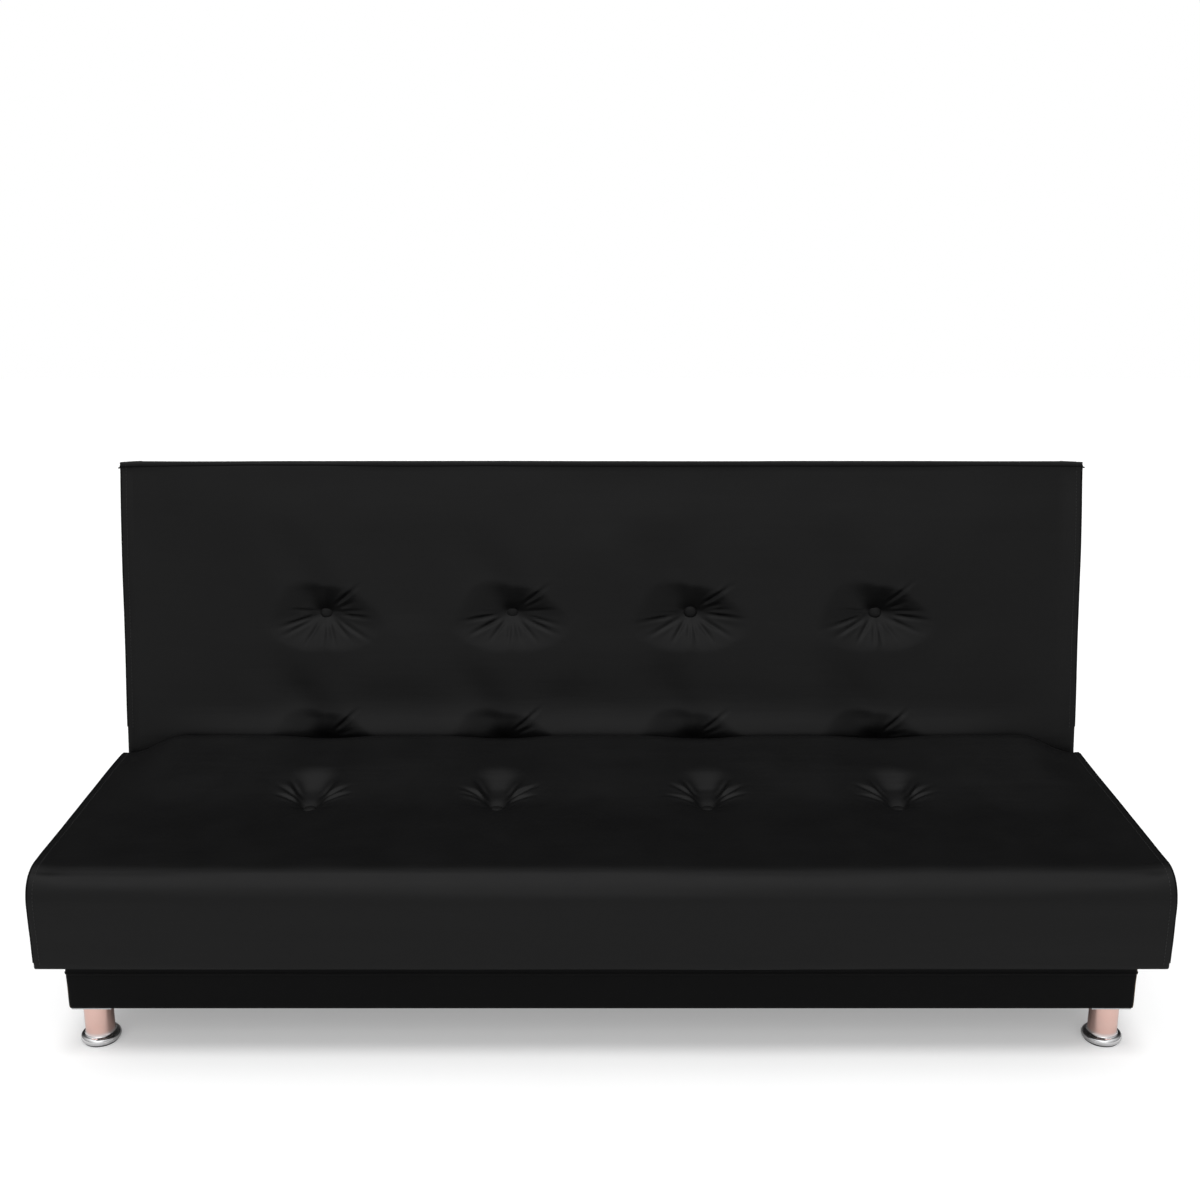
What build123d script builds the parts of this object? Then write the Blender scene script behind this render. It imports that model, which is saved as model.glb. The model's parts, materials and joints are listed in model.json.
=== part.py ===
from build123d import *
from math import cos, radians, sin
import os

# Click-clack sofa bed: a padded seat and a padded back hinged to a low plinth on four turned feet.
# Millimetres. It is drawn with y = 0 at the seat's front face, +Y to the rear and z = 0 on the floor;
# save() then moves each piece so that the origin lies under the middle of the whole. Left is -X.

# ---- driving dimensions ----
WIDTH = 1850.0  # length of the seat and the back along X
SEAT_DEPTH = 545.0
SEAT_BOTTOM = 208.5
SEAT_TOP = 376.0
BACK_LENGTH = 646.0
BACK_THICKNESS = 130.0
BACK_TILT = 10.6  # degrees rearward from upright, in the sitting position
BACK_MEETS_SEAT = 557.0  # y where the back's front face crosses the seat's top plane
BACK_BELOW_SEAT = 90.0  # length of the back below that plane
PLINTH_WIDTH = 1830.0
PLINTH_FRONT = 90.0
PLINTH_REAR = 700.0
PLINTH_BOTTOM = 80.0
PLINTH_TOP = 208.0

# ---- panels: covers, foam and tufts ----
COVER = 4.0  # faux leather with its wadding
END_RADIUS = 7.0
SEAT_RADII = (8.0, 8.0, 25.0, 55.0)  # front bottom, rear bottom, rear top, front top
BACK_RADII = (45.0, 20.0, 15.0, 10.0)
HEM = 45.0  # width of the cover's turned-in edge on a panel's hidden face
DUST_CLOTH = 0.8
REAR_CLOTH = 1.5
REAR_CLOTH_INSET = 10.0
TUFT_DEPTH = 22.0
TUFT_MOUTH_RADIUS = 45.0
TUFT_FLOOR_RADIUS = 14.0
BUTTON_RADIUS = 12.5
BUTTON_HEIGHT = 9.0
BUTTON_ROUND = 4.0
TIE_RADIUS = 1.0
TIE_HOLE_RADIUS = 1.3
ANCHOR_RADIUS = 10.0
ANCHOR_THICKNESS = 3.0
SEAT_BUTTON_Y = 284.0
SEAT_BUTTON_X = (-529.0, -189.0, 192.0, 537.0)
UPPER_BUTTON_U = 352.0
UPPER_BUTTON_X = (-538.0, -174.5, 174.5, 536.0)
LOWER_BUTTON_U = 142.0
LOWER_BUTTON_X = (-543.0, -192.0, 178.0, 535.0)

# ---- wooden frames and webbing ----
FRAME_X = 905.0  # outer face of the side rails and stiles
RAIL = 25.0
SEAT_FRAME_Y = (20.0, 525.0)
SEAT_RAIL_TOP = 282.0
SEAT_CROSS_X = (-450.0, 0.0, 450.0)
BACK_FRAME_U = (20.0, 626.0)
BACK_FRAME_FRONT = 68.0  # depth of the back's frame behind its front face
BACK_CROSS_X = (-300.0, 300.0)
WEB = 2.0
WEB_WIDTH = 60.0
WEB_PITCH = 180.0
WEB_COUNT = 9
LONG_WEB_Y = (120.0, 272.0, 424.0)
BASE_RAIL = 20.0
BASE_WRAP = 2.0
BASE_TOP_HEM = 30.0
BASE_BOTTOM_HEM = 80.0
BASE_EDGE_RADIUS = 2.5
BASE_CLOTH_INSET = 12.0
BASE_CROSS_X = (-300.0, 300.0)
BASE_CROSS_HEIGHT = 90.0
CORNER_BLOCK = 60.0

# ---- feet ----
FOOT_INSET = 38.0
FOOT_RADIUS = 25.0
FOOT_RIM_RADIUS = 34.0
FOOT_RIM_TOP = 8.5
FOOT_COVE_TOP = 19.0
FOOT_COVE_BOW = 0.3  # where the cove's middle lies between its two ends
FOOT_WALL = 2.5
FOOT_RIM_ROUND = 1.5
GLIDE = 2.0
GLIDE_RADIUS = 30.0
GLIDE_PLUG = 8.0
FOOT_PLATE = 68.0
FOOT_PLATE_THICKNESS = 3.0
FOOT_SCREW_SPACING = 52.0
FOOT_SCREW_RADIUS = 2.5
FOOT_SCREW_LENGTH = 24.0
FOOT_SCREW_HEAD = (5.0, 2.0)  # radius, height
FOOT_BOLT_RADIUS = 4.0
FOOT_BOLT_LENGTH = 40.0
FOOT_BOLT_HEAD = (7.0, 5.0)
HOLE_GAP = 0.05  # radial gap round a fixed screw

# ---- hinges: plates stacked outward along X at each end ----
HINGE_M = 48.2  # hinge axis behind the back's front face
HINGE_U = 50.0  # hinge axis above the back's lower edge
BACK_ARM_X = (905.0, 909.0)
SEAT_ARM_X = (910.0, 914.0)
BRACKET_X = (915.0, 919.0)
PIN_RADIUS = 6.0
PIN_X = (905.2, 919.6)
CAP_X = (919.6, 924.5)
CAP_RADIUS = 11.0
CAP_ROUND = 2.0
RUNNING_GAP = 0.08
WASHER = 0.6
WASHER_RADIUS = 14.0
HUB_RADIUS = 33.0
SEAT_HUB_RADIUS = 30.0
BRACKET_HUB_RADIUS = 26.0
LOCK_ANGLES = (0.0, 20.0, 40.0, 60.0, 79.4)  # recline steps that the ratchet holds
NOTCH_RADIUS = 3.6
BACK_ARM_KNEE = (96.0, 130.0)
BACK_ARM_END = (96.0, 270.0)
BACK_ARM_WIDTH = 18.0
BACK_BOLT_U = (150.0, 205.0, 260.0)
SEAT_ARM_KNEE = (545.0, 262.0)
SEAT_ARM_KNEE_WIDTH = 22.0
SEAT_ARM_END = (350.0, 247.0)
SEAT_ARM_END_WIDTH = 16.0
SPACER = ((520.0, 260.0), 15.0, (362.0, 248.0), 13.0)
SEAT_BOLTS = ((375.0, 249.0), (430.0, 253.2), (485.0, 257.4))
BRACKET_PLATE = ((570.0, 650.0), (100.0, 200.0))
BRACKET_CORNER = 8.0
BRACKET_FOOT = (607.0, 180.0)
BRACKET_BOLTS = ((585.0, 115.0), (635.0, 115.0), (585.0, 185.0), (635.0, 185.0))
BOLT_RADIUS = 4.0
ARM_BOLT_HEAD = (8.0, 2.0)
BRACKET_BOLT_HEAD = (8.0, 4.0)
BOLT_REACH = 20.0  # bolt length inside the wood
POCKET_GROWTH = 2.5
POCKET_X = 916.2
BACK_POCKET_X = 911.4
# outline in m and u that is cut from both ends of the back, round the hinge plates
END_NOTCH = ((-10.0, -10.0), (142.0, -10.0), (142.0, 116.0), (40.0, 84.0), (-10.0, 84.0))

# ---- pawls ----
PAWL_PIVOT = (560.0, 268.0)
PAWL_EYE_RADIUS = 8.0
PAWL_TIP_RADIUS = 3.0
PAWL_TIP_ANGLE = 264.9  # where the tip points at the hub, in degrees about +X from +Y
PAWL_GAP = 0.7
PAWL_PIN_RADIUS = 4.0
PAWL_PIN_HEAD = (6.5, 1.0)
SPRING_X = (905.8, 908.2)
SPRING_POST = (558.0, 248.0)
SPRING_POST_RADIUS = 2.2
SPRING_TIP = (576.6, 269.6)
SPRING_TIP_RADIUS = 0.5

# ---- derived places ----
TILT = radians(BACK_TILT)
BACK_Y = BACK_MEETS_SEAT - BACK_BELOW_SEAT * sin(TILT)
BACK_Z = SEAT_TOP - BACK_BELOW_SEAT * cos(TILT)
BACK_PLACE = Location((0, BACK_Y, BACK_Z), (-BACK_TILT, 0, 0))
REAR_ROUND = BACK_RADII[2]
DEPTH = (
    BACK_Y + (BACK_THICKNESS - REAR_ROUND) * cos(TILT) + (BACK_LENGTH - REAR_ROUND) * sin(TILT) + REAR_ROUND
)
SEAT_HEIGHT = SEAT_TOP - SEAT_BOTTOM
SEAT_WEB_TOP = SEAT_RAIL_TOP + 2 * WEB
FRAME_BOTTOM = SEAT_BOTTOM + COVER
BACK_FRAME_REAR = BACK_THICKNESS - COVER
BASE_X = PLINTH_WIDTH / 2 - BASE_WRAP
BASE_Y = (PLINTH_FRONT + BASE_WRAP, PLINTH_REAR - BASE_WRAP)
BASE_Z = (PLINTH_BOTTOM + BASE_WRAP, PLINTH_TOP - BASE_WRAP)
FOOT_X = PLINTH_WIDTH / 2 - FOOT_INSET
FOOT_Y = (PLINTH_FRONT + FOOT_INSET, PLINTH_REAR - FOOT_INSET)
FOOT_TOP = PLINTH_BOTTOM - FOOT_PLATE_THICKNESS


def back_point(m, u):
    """(y, z) of a point m behind the back's front face and u along it."""
    return (BACK_Y + m * cos(TILT) + u * sin(TILT), BACK_Z - m * sin(TILT) + u * cos(TILT))


HINGE = back_point(HINGE_M, HINGE_U)


# ---- shapes ----
def block(x, y, z):
    """Box between the low and high values of each axis."""
    spans = (x, y, z)
    centre = [(low + high) / 2 for low, high in spans]
    return Pos(*centre) * Box(*[high - low for low, high in spans])


def upright(centre, radius, z):
    """Cylinder along Z at (x, y)."""
    return Pos(centre[0], centre[1], z[0]) * extrude(Circle(radius), z[1] - z[0])


def plate(outline, x):
    """Outline in (y, z), thickened between two x values."""
    return Pos(x[0], 0, 0) * extrude(Plane.YZ * outline, x[1] - x[0])


def disc(centre, radius):
    return Pos(*centre) * Circle(radius)


def rod(centre, radius, x):
    """Cylinder along X at (y, z)."""
    return plate(disc(centre, radius), x)


def strap(a, a_radius, b, b_radius):
    """Outline of two discs joined by their tangents."""
    return make_hull(disc(a, a_radius).edges() + disc(b, b_radius).edges())


def on_circle(centre, radius, angle):
    return (centre[0] + radius * cos(radians(angle)), centre[1] + radius * sin(radians(angle)))


def sided(shape, side):
    """A right-hand shape, mirrored when the side is the left."""
    return mirror(shape, about=Plane.YZ) if side == "left" else shape


def both_sides(shapes):
    return shapes + [mirror(shape, about=Plane.YZ) for shape in shapes]


def panel(depth, height, radii, inset):
    """Cushion panel from y = 0, z = 0 with rounded edges, shrunk by inset all round."""
    outline = Rectangle(depth - 2 * inset, height - 2 * inset, align=(Align.MIN, Align.MIN))
    right, top = depth - 2 * inset, height - 2 * inset
    for corner, radius in zip(((0, 0), (right, 0), (right, top), (0, top)), radii):
        nearest = outline.vertices().sort_by_distance(Vector(*corner))[0]
        outline = fillet(nearest, radius - inset)
    solid = extrude(Plane.YZ * Pos(inset, inset) * outline, WIDTH / 2 - inset, both=True)
    faces = solid.faces().sort_by(Axis.X)
    return fillet(faces[0].edges() + faces[-1].edges(), END_RADIUS - inset)


def foam_pieces(inner, slab, frame):
    """The slab over the webbing, and the four edge strips round the frame."""
    ends = both_sides([block((FRAME_X, WIDTH / 2), (-WIDTH, WIDTH), (0, WIDTH))])
    middle = inner - ends
    strips = middle - slab - frame
    return middle & slab, [inner & end for end in ends] + [strips]


# ---- tufts: each spot is a frame on a panel's face with +Z pointing out of it ----
def seat_spots():
    return [Location((x, SEAT_BUTTON_Y, SEAT_TOP)) for x in SEAT_BUTTON_X]


def back_spots(row_x, u):
    return [BACK_PLACE * Location((x, 0, u), (90, 0, 0)) for x in row_x]


def all_back_spots():
    return back_spots(UPPER_BUTTON_X, UPPER_BUTTON_U) + back_spots(LOWER_BUTTON_X, LOWER_BUTTON_U)


def dimples(spots, sink):
    cone = Cone(TUFT_FLOOR_RADIUS, TUFT_MOUTH_RADIUS, TUFT_DEPTH)
    return [spot * Pos(0, 0, -sink - TUFT_DEPTH / 2) * cone for spot in spots]


def buttons(spots):
    button = Pos(0, 0, BUTTON_HEIGHT / 2 - TUFT_DEPTH) * Cylinder(BUTTON_RADIUS, BUTTON_HEIGHT)
    button = fillet(button.edges().group_by(Axis.Z)[-1], BUTTON_ROUND)
    return [spot * button for spot in spots]


def ties(spots, radius, end):
    """Straight cords from under the buttons to a depth of end below the face."""
    length = end - TUFT_DEPTH
    return [spot * Pos(0, 0, -TUFT_DEPTH - length / 2) * Cylinder(radius, length) for spot in spots]


def anchors(spots, depth):
    anchor = Pos(0, 0, -depth - ANCHOR_THICKNESS / 2) * Cylinder(ANCHOR_RADIUS, ANCHOR_THICKNESS)
    return [spot * anchor for spot in spots]


def webs(along_y, z):
    """Crosswise strips at an even pitch."""
    first = -WEB_PITCH * (WEB_COUNT - 1) / 2
    spans = [first + WEB_PITCH * i for i in range(WEB_COUNT)]
    return [block((x - WEB_WIDTH / 2, x + WEB_WIDTH / 2), along_y, z) for x in spans]


# ---- fasteners along X, drawn for the right side ----
def bolt_line(points, seat_x, head, deep_x):
    """Bolts with heads outside seat_x and shanks that reach in to deep_x."""
    radius, height = head
    return [rod(p, radius, (seat_x, seat_x + height)) + rod(p, BOLT_RADIUS, (deep_x, seat_x)) for p in points]


def bolt_holes(points, x):
    return [rod(p, BOLT_RADIUS + HOLE_GAP, x) for p in points]


def back_bolt_points():
    return [back_point(BACK_ARM_KNEE[0], u) for u in BACK_BOLT_U]


SEAT_HOLE_X = (FRAME_X - RAIL, SEAT_ARM_X[1] + 1)
BRACKET_HOLE_X = (BASE_X - BASE_RAIL - 1, BRACKET_X[1] + 1)


# ---- hinge outlines in (y, z) ----
def back_arm_outline(growth):
    knee, end = back_point(*BACK_ARM_KNEE), back_point(*BACK_ARM_END)
    width = BACK_ARM_WIDTH + growth
    bar = strap(HINGE, width, knee, width) + strap(knee, width, end, width)
    return disc(HINGE, HUB_RADIUS + growth) + bar


def seat_arm_outline(growth):
    knee_width = SEAT_ARM_KNEE_WIDTH + growth
    upper = strap(HINGE, SEAT_HUB_RADIUS + growth, SEAT_ARM_KNEE, knee_width)
    return upper + strap(SEAT_ARM_KNEE, knee_width, SEAT_ARM_END, SEAT_ARM_END_WIDTH + growth)


def back_arm():
    angles = [PAWL_TIP_ANGLE + lock for lock in LOCK_ANGLES]
    notches = [disc(on_circle(HINGE, HUB_RADIUS, angle), NOTCH_RADIUS) for angle in angles]
    outline = back_arm_outline(0) - disc(HINGE, PIN_RADIUS + RUNNING_GAP) - notches
    return plate(outline, BACK_ARM_X) - bolt_holes(back_bolt_points(), (BACK_ARM_X[0] - 1, BACK_ARM_X[1] + 1))


def seat_arm():
    holes = [disc(HINGE, PIN_RADIUS), disc(PAWL_PIVOT, PAWL_PIN_RADIUS)]
    return plate(seat_arm_outline(0) - holes, SEAT_ARM_X) - bolt_holes(SEAT_BOLTS, SEAT_HOLE_X)


def base_bracket():
    spans_y, spans_z = BRACKET_PLATE
    size = (spans_y[1] - spans_y[0], spans_z[1] - spans_z[0])
    flange = Pos(sum(spans_y) / 2, sum(spans_z) / 2) * RectangleRounded(*size, BRACKET_CORNER)
    outline = flange + strap(HINGE, BRACKET_HUB_RADIUS, BRACKET_FOOT, BRACKET_HUB_RADIUS)
    outline = outline - disc(HINGE, PIN_RADIUS + RUNNING_GAP)
    return plate(outline, BRACKET_X) - bolt_holes(BRACKET_BOLTS, BRACKET_HOLE_X)


def hinge_pin():
    cap = rod(HINGE, CAP_RADIUS, CAP_X)
    cap = fillet(cap.faces().sort_by(Axis.X)[-1].edges(), CAP_ROUND)
    return rod(HINGE, PIN_RADIUS, PIN_X) + cap


def hinge_washers():
    ring = disc(HINGE, WASHER_RADIUS) - disc(HINGE, PIN_RADIUS + RUNNING_GAP)
    gap = (SEAT_ARM_X[0] - BACK_ARM_X[1] - WASHER) / 2
    starts = (BACK_ARM_X[1] + gap, SEAT_ARM_X[1] + gap)
    return [plate(ring, (x, x + WASHER)) for x in starts]


def pawl():
    tip = on_circle(HINGE, HUB_RADIUS + PAWL_GAP + PAWL_TIP_RADIUS, PAWL_TIP_ANGLE)
    outline = strap(PAWL_PIVOT, PAWL_EYE_RADIUS, tip, PAWL_TIP_RADIUS)
    return plate(outline - disc(PAWL_PIVOT, PAWL_PIN_RADIUS + RUNNING_GAP), BACK_ARM_X)


def pawl_pin():
    """Rivet fixed in the seat arm; the pawl turns on its inner end."""
    shank = rod(PAWL_PIVOT, PAWL_PIN_RADIUS, (PIN_X[0], SEAT_ARM_X[1]))
    return shank + rod(PAWL_PIVOT, PAWL_PIN_HEAD[0], (SEAT_ARM_X[1], SEAT_ARM_X[1] + PAWL_PIN_HEAD[1]))


def pawl_spring():
    """Tapered leaf from a post on the seat arm to just under the pawl's lower edge."""
    leaf = plate(strap(SPRING_POST, SPRING_POST_RADIUS, SPRING_TIP, SPRING_TIP_RADIUS), SPRING_X)
    return leaf + rod(SPRING_POST, SPRING_POST_RADIUS, (SPRING_X[0], SEAT_ARM_X[0]))


# ---- the plinth ----
def foot_centres():
    return [(x, y) for x in (-FOOT_X, FOOT_X) for y in FOOT_Y]


def foot_screw_centres():
    half = FOOT_SCREW_SPACING / 2
    return [(x + i * half, y + j * half) for x, y in foot_centres() for i in (-1, 1) for j in (-1, 1)]


def foot_drillings():
    """Holes for the foot screws and the foot bolts, cut from all that they pass through."""
    screw_z = (FOOT_TOP - 1, FOOT_TOP + FOOT_SCREW_LENGTH + 1)
    bolt_z = (FOOT_TOP - FOOT_WALL - 1, FOOT_TOP + FOOT_BOLT_LENGTH + 1)
    screws = [upright(c, FOOT_SCREW_RADIUS + HOLE_GAP, screw_z) for c in foot_screw_centres()]
    return screws + [upright(c, FOOT_BOLT_RADIUS + HOLE_GAP, bolt_z) for c in foot_centres()]


def foot(centre):
    """Turned shell: a straight tube that flares into a dished rim, closed on top, open underneath."""
    bore, rim = FOOT_RADIUS - FOOT_WALL, FOOT_RIM_RADIUS
    lip = rim - FOOT_RIM_ROUND
    rim_base, rim_side = GLIDE + FOOT_RIM_ROUND, FOOT_RIM_TOP - FOOT_RIM_ROUND
    under = FOOT_TOP - FOOT_WALL
    cove_middle = (
        FOOT_RADIUS + (lip - FOOT_RADIUS) * FOOT_COVE_BOW,
        FOOT_RIM_TOP + (FOOT_COVE_TOP - FOOT_RIM_TOP) * FOOT_COVE_BOW,
    )
    lines = [
        Polyline((bore, GLIDE), (lip, GLIDE), (rim, rim_base), (rim, rim_side), (lip, FOOT_RIM_TOP)),
        ThreePointArc((lip, FOOT_RIM_TOP), cove_middle, (FOOT_RADIUS, FOOT_COVE_TOP)),
        Polyline((FOOT_RADIUS, FOOT_COVE_TOP), (FOOT_RADIUS, FOOT_TOP), (0, FOOT_TOP), (0, under)),
        Polyline((0, under), (bore, under), (bore, GLIDE)),
    ]
    profile = make_face([edge for line in lines for edge in line.edges()])
    shell = Pos(centre[0], centre[1], 0) * revolve(Plane.XZ * profile, Axis.Z)
    return shell - upright(centre, FOOT_BOLT_RADIUS + HOLE_GAP, (under, FOOT_TOP))


def foot_glide(centre):
    bore = FOOT_RADIUS - FOOT_WALL - HOLE_GAP
    return upright(centre, GLIDE_RADIUS, (0, GLIDE)) + upright(centre, bore, (GLIDE, GLIDE_PLUG))


def foot_plate(centre):
    half = FOOT_PLATE / 2
    x, y = centre
    return block((x - half, x + half), (y - half, y + half), (FOOT_TOP, PLINTH_BOTTOM))


def foot_screw(centre):
    radius, height = FOOT_SCREW_HEAD
    head = upright(centre, radius, (FOOT_TOP - height, FOOT_TOP))
    return head + upright(centre, FOOT_SCREW_RADIUS, (FOOT_TOP, FOOT_TOP + FOOT_SCREW_LENGTH))


def foot_bolt(centre):
    radius, height = FOOT_BOLT_HEAD
    under = FOOT_TOP - FOOT_WALL
    head = upright(centre, radius, (under - height, under))
    return head + upright(centre, FOOT_BOLT_RADIUS, (under, FOOT_TOP + FOOT_BOLT_LENGTH))


def corner_blocks():
    inner_x = BASE_X - BASE_RAIL
    spans_x = ((-inner_x, CORNER_BLOCK - inner_x), (inner_x - CORNER_BLOCK, inner_x))
    front, rear = BASE_Y[0] + BASE_RAIL, BASE_Y[1] - BASE_RAIL
    spans_y = ((front, front + CORNER_BLOCK), (rear - CORNER_BLOCK, rear))
    return [block(x, y, BASE_Z) for x in spans_x for y in spans_y]


def base_cover():
    """Faux leather band round the plinth, turned in over the rails at top and bottom."""
    x, y, z = PLINTH_WIDTH / 2, (PLINTH_FRONT, PLINTH_REAR), (PLINTH_BOTTOM, PLINTH_TOP)
    band = block((-x, x), y, z)
    band = fillet(band.edges().filter_by(Axis.Z), BASE_EDGE_RADIUS)
    band = band - block((-BASE_X, BASE_X), BASE_Y, BASE_Z)
    for hem, span in ((BASE_TOP_HEM, (PLINTH_TOP - BASE_WRAP, PLINTH_TOP)),
                      (BASE_BOTTOM_HEM, (PLINTH_BOTTOM, PLINTH_BOTTOM + BASE_WRAP))):
        band = band - block((hem - x, x - hem), (y[0] + hem, y[1] - hem), span)
    return band


def base_dust_cover():
    """Cloth stapled over the hem under the plinth, cut out round the foot plates."""
    x, inset = PLINTH_WIDTH / 2 - BASE_CLOTH_INSET, BASE_CLOTH_INSET
    z = (PLINTH_BOTTOM - DUST_CLOTH, PLINTH_BOTTOM)
    cloth = block((-x, x), (PLINTH_FRONT + inset, PLINTH_REAR - inset), z)
    reach = CORNER_BLOCK + BASE_RAIL
    corners = [block((sx - reach, sx + reach), (sy - reach, sy + reach), z)
               for sx in (-PLINTH_WIDTH / 2, PLINTH_WIDTH / 2) for sy in (PLINTH_FRONT, PLINTH_REAR)]
    return cloth - corners


def base_frame():
    front, rear = BASE_Y
    between = (front + BASE_RAIL, rear - BASE_RAIL)
    drillings = foot_drillings()
    end_rail = block((BASE_X - BASE_RAIL, BASE_X), between, BASE_Z) - drillings
    end_rail = end_rail - bolt_holes(BRACKET_BOLTS, BRACKET_HOLE_X)
    cross_z = (BASE_Z[0], BASE_Z[0] + BASE_CROSS_HEIGHT)
    half = BASE_RAIL / 2
    return {
        "base_front_rail": block((-BASE_X, BASE_X), (front, front + BASE_RAIL), BASE_Z) - drillings,
        "base_rear_rail": block((-BASE_X, BASE_X), (rear - BASE_RAIL, rear), BASE_Z) - drillings,
        "base_end_rail_left": sided(end_rail, "left"),
        "base_end_rail_right": end_rail,
        "base_cross_rails": [block((x - half, x + half), between, cross_z) for x in BASE_CROSS_X],
        "base_corner_blocks": [one - drillings for one in corner_blocks()],
    }


def base_parts():
    drillings = foot_drillings()
    bracket_holes = both_sides(bolt_holes(BRACKET_BOLTS, BRACKET_HOLE_X))
    parts = base_frame() | {
        "base_cover": base_cover() - drillings - bracket_holes,
        "base_dust_cover": base_dust_cover(),
        "foot_plates": [foot_plate(c) - drillings for c in foot_centres()],
        "foot_glides": [foot_glide(c) for c in foot_centres()],
        "foot_screws": [foot_screw(c) for c in foot_screw_centres()],
        "foot_bolts": [foot_bolt(c) for c in foot_centres()],
    }
    names = ("foot_front_left", "foot_rear_left", "foot_front_right", "foot_rear_right")
    for name, centre in zip(names, foot_centres()):
        parts[name] = foot(centre)
    return parts


def base_hinges():
    bolts = bolt_line(BRACKET_BOLTS, BRACKET_X[1], BRACKET_BOLT_HEAD, BASE_X - BOLT_REACH)
    return {
        "hinge_base_bolts": both_sides(bolts),
        "hinge_base_bracket_left": sided(base_bracket(), "left"),
        "hinge_base_bracket_right": base_bracket(),
    }


# ---- the seat ----
SEAT_WEB_DEPTH = SEAT_TOP - SEAT_RAIL_TOP
SEAT_OPENING = ((HEM - WIDTH / 2, WIDTH / 2 - HEM), (HEM, SEAT_DEPTH - HEM))
FULL_X = (-FRAME_X, FRAME_X)


def seat_block(inset):
    """The seat cushion's outside, shrunk by inset, with its dimples."""
    level_block = Pos(0, 0, SEAT_BOTTOM) * panel(SEAT_DEPTH, SEAT_HEIGHT, SEAT_RADII, inset)
    return level_block - dimples(seat_spots(), inset)


def seat_cuts():
    """Tie holes, and the pockets that the hinge arms lie in."""
    pocket = plate(seat_arm_outline(POCKET_GROWTH), (FRAME_X, POCKET_X))
    return ties(seat_spots(), TIE_HOLE_RADIUS, SEAT_WEB_DEPTH) + both_sides([pocket])


def seat_cover():
    hem_opening = block(*SEAT_OPENING, (SEAT_BOTTOM, FRAME_BOTTOM))
    return seat_block(0) - seat_block(COVER) - hem_opening - seat_cuts()


def seat_foams():
    over_webs = block(FULL_X, (0, SEAT_DEPTH), (SEAT_WEB_TOP, SEAT_TOP))
    frame = block(FULL_X, SEAT_FRAME_Y, (FRAME_BOTTOM, SEAT_WEB_TOP))
    return foam_pieces(seat_block(COVER) - seat_cuts(), over_webs, frame)


def seat_webbing():
    """Crosswise strips on the rails, and lengthwise strips over them."""
    strips = webs(SEAT_FRAME_Y, (SEAT_RAIL_TOP, SEAT_RAIL_TOP + WEB))
    for y in LONG_WEB_Y:
        span_y = (y - WEB_WIDTH / 2, y + WEB_WIDTH / 2)
        strips.append(block(FULL_X, span_y, (SEAT_RAIL_TOP + WEB, SEAT_WEB_TOP)))
    holes = ties(seat_spots(), TIE_HOLE_RADIUS, SEAT_WEB_DEPTH)
    return [strip - holes for strip in strips]


def seat_padding():
    spots = seat_spots()
    slab, strips = seat_foams()
    return {
        "seat_cover": seat_cover(),
        "seat_foam": slab,
        "seat_edge_foam": strips,
        "seat_webbing": seat_webbing(),
        "seat_dust_cover": block(*SEAT_OPENING, (FRAME_BOTTOM - DUST_CLOTH, FRAME_BOTTOM)),
        "seat_buttons": buttons(spots),
        "seat_button_ties": ties(spots, TIE_RADIUS, SEAT_WEB_DEPTH),
        "seat_tie_anchors": anchors(spots, SEAT_WEB_DEPTH),
    }


def seat_frame():
    front, rear = SEAT_FRAME_Y
    z = (FRAME_BOTTOM, SEAT_RAIL_TOP)
    between = (front + RAIL, rear - RAIL)
    side_rail = block((FRAME_X - RAIL, FRAME_X), between, z) - bolt_holes(SEAT_BOLTS, SEAT_HOLE_X)
    return {
        "seat_front_rail": block(FULL_X, (front, front + RAIL), z),
        "seat_rear_rail": block(FULL_X, (rear - RAIL, rear), z),
        "seat_side_rail_left": sided(side_rail, "left"),
        "seat_side_rail_right": side_rail,
        "seat_cross_rails": [block((x - RAIL / 2, x + RAIL / 2), between, z) for x in SEAT_CROSS_X],
    }


def seat_hinges():
    bolts = bolt_line(SEAT_BOLTS, SEAT_ARM_X[1], ARM_BOLT_HEAD, FRAME_X - BOLT_REACH)
    spacer = plate(strap(*SPACER), (FRAME_X, SEAT_ARM_X[0])) - bolt_holes(SEAT_BOLTS, SEAT_HOLE_X)
    parts = {
        "hinge_seat_spacers": both_sides([spacer]),
        "hinge_seat_bolts": both_sides(bolts),
        "hinge_washers": both_sides(hinge_washers()),
        "pawl_pins": both_sides([pawl_pin()]),
        "pawl_springs": both_sides([pawl_spring()]),
    }
    for side in ("left", "right"):
        parts["hinge_seat_arm_" + side] = sided(seat_arm(), side)
        parts["hinge_pivot_pin_" + side] = sided(hinge_pin(), side)
    return parts


# ---- the back, drawn upright in (m, u) and then tilted into place ----
BACK_WEB_M = (BACK_FRAME_FRONT - WEB, BACK_FRAME_FRONT)


def in_back(x, m, u):
    return BACK_PLACE * block(x, m, u)


def back_block(inset):
    """The back cushion's outside, shrunk by inset, with its dimples."""
    upright_block = panel(BACK_THICKNESS, BACK_LENGTH, BACK_RADII, inset)
    return BACK_PLACE * upright_block - dimples(all_back_spots(), inset)


def back_cuts():
    """Tie holes, and the room at both ends for the plates of the hinges."""
    notch = BACK_PLACE * plate(Polygon(*END_NOTCH, align=None), (FRAME_X, WIDTH / 2 + 1))
    arm_pocket = plate(back_arm_outline(POCKET_GROWTH), (FRAME_X, BACK_POCKET_X))
    return ties(all_back_spots(), TIE_HOLE_RADIUS, BACK_FRAME_FRONT) + both_sides([notch, arm_pocket])


def back_cover():
    opening_x, opening_u = (HEM - WIDTH / 2, WIDTH / 2 - HEM), (HEM, BACK_LENGTH - HEM)
    hem_opening = in_back(opening_x, (BACK_FRAME_REAR, BACK_THICKNESS), opening_u)
    return back_block(0) - back_block(COVER) - hem_opening - back_cuts()


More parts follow.
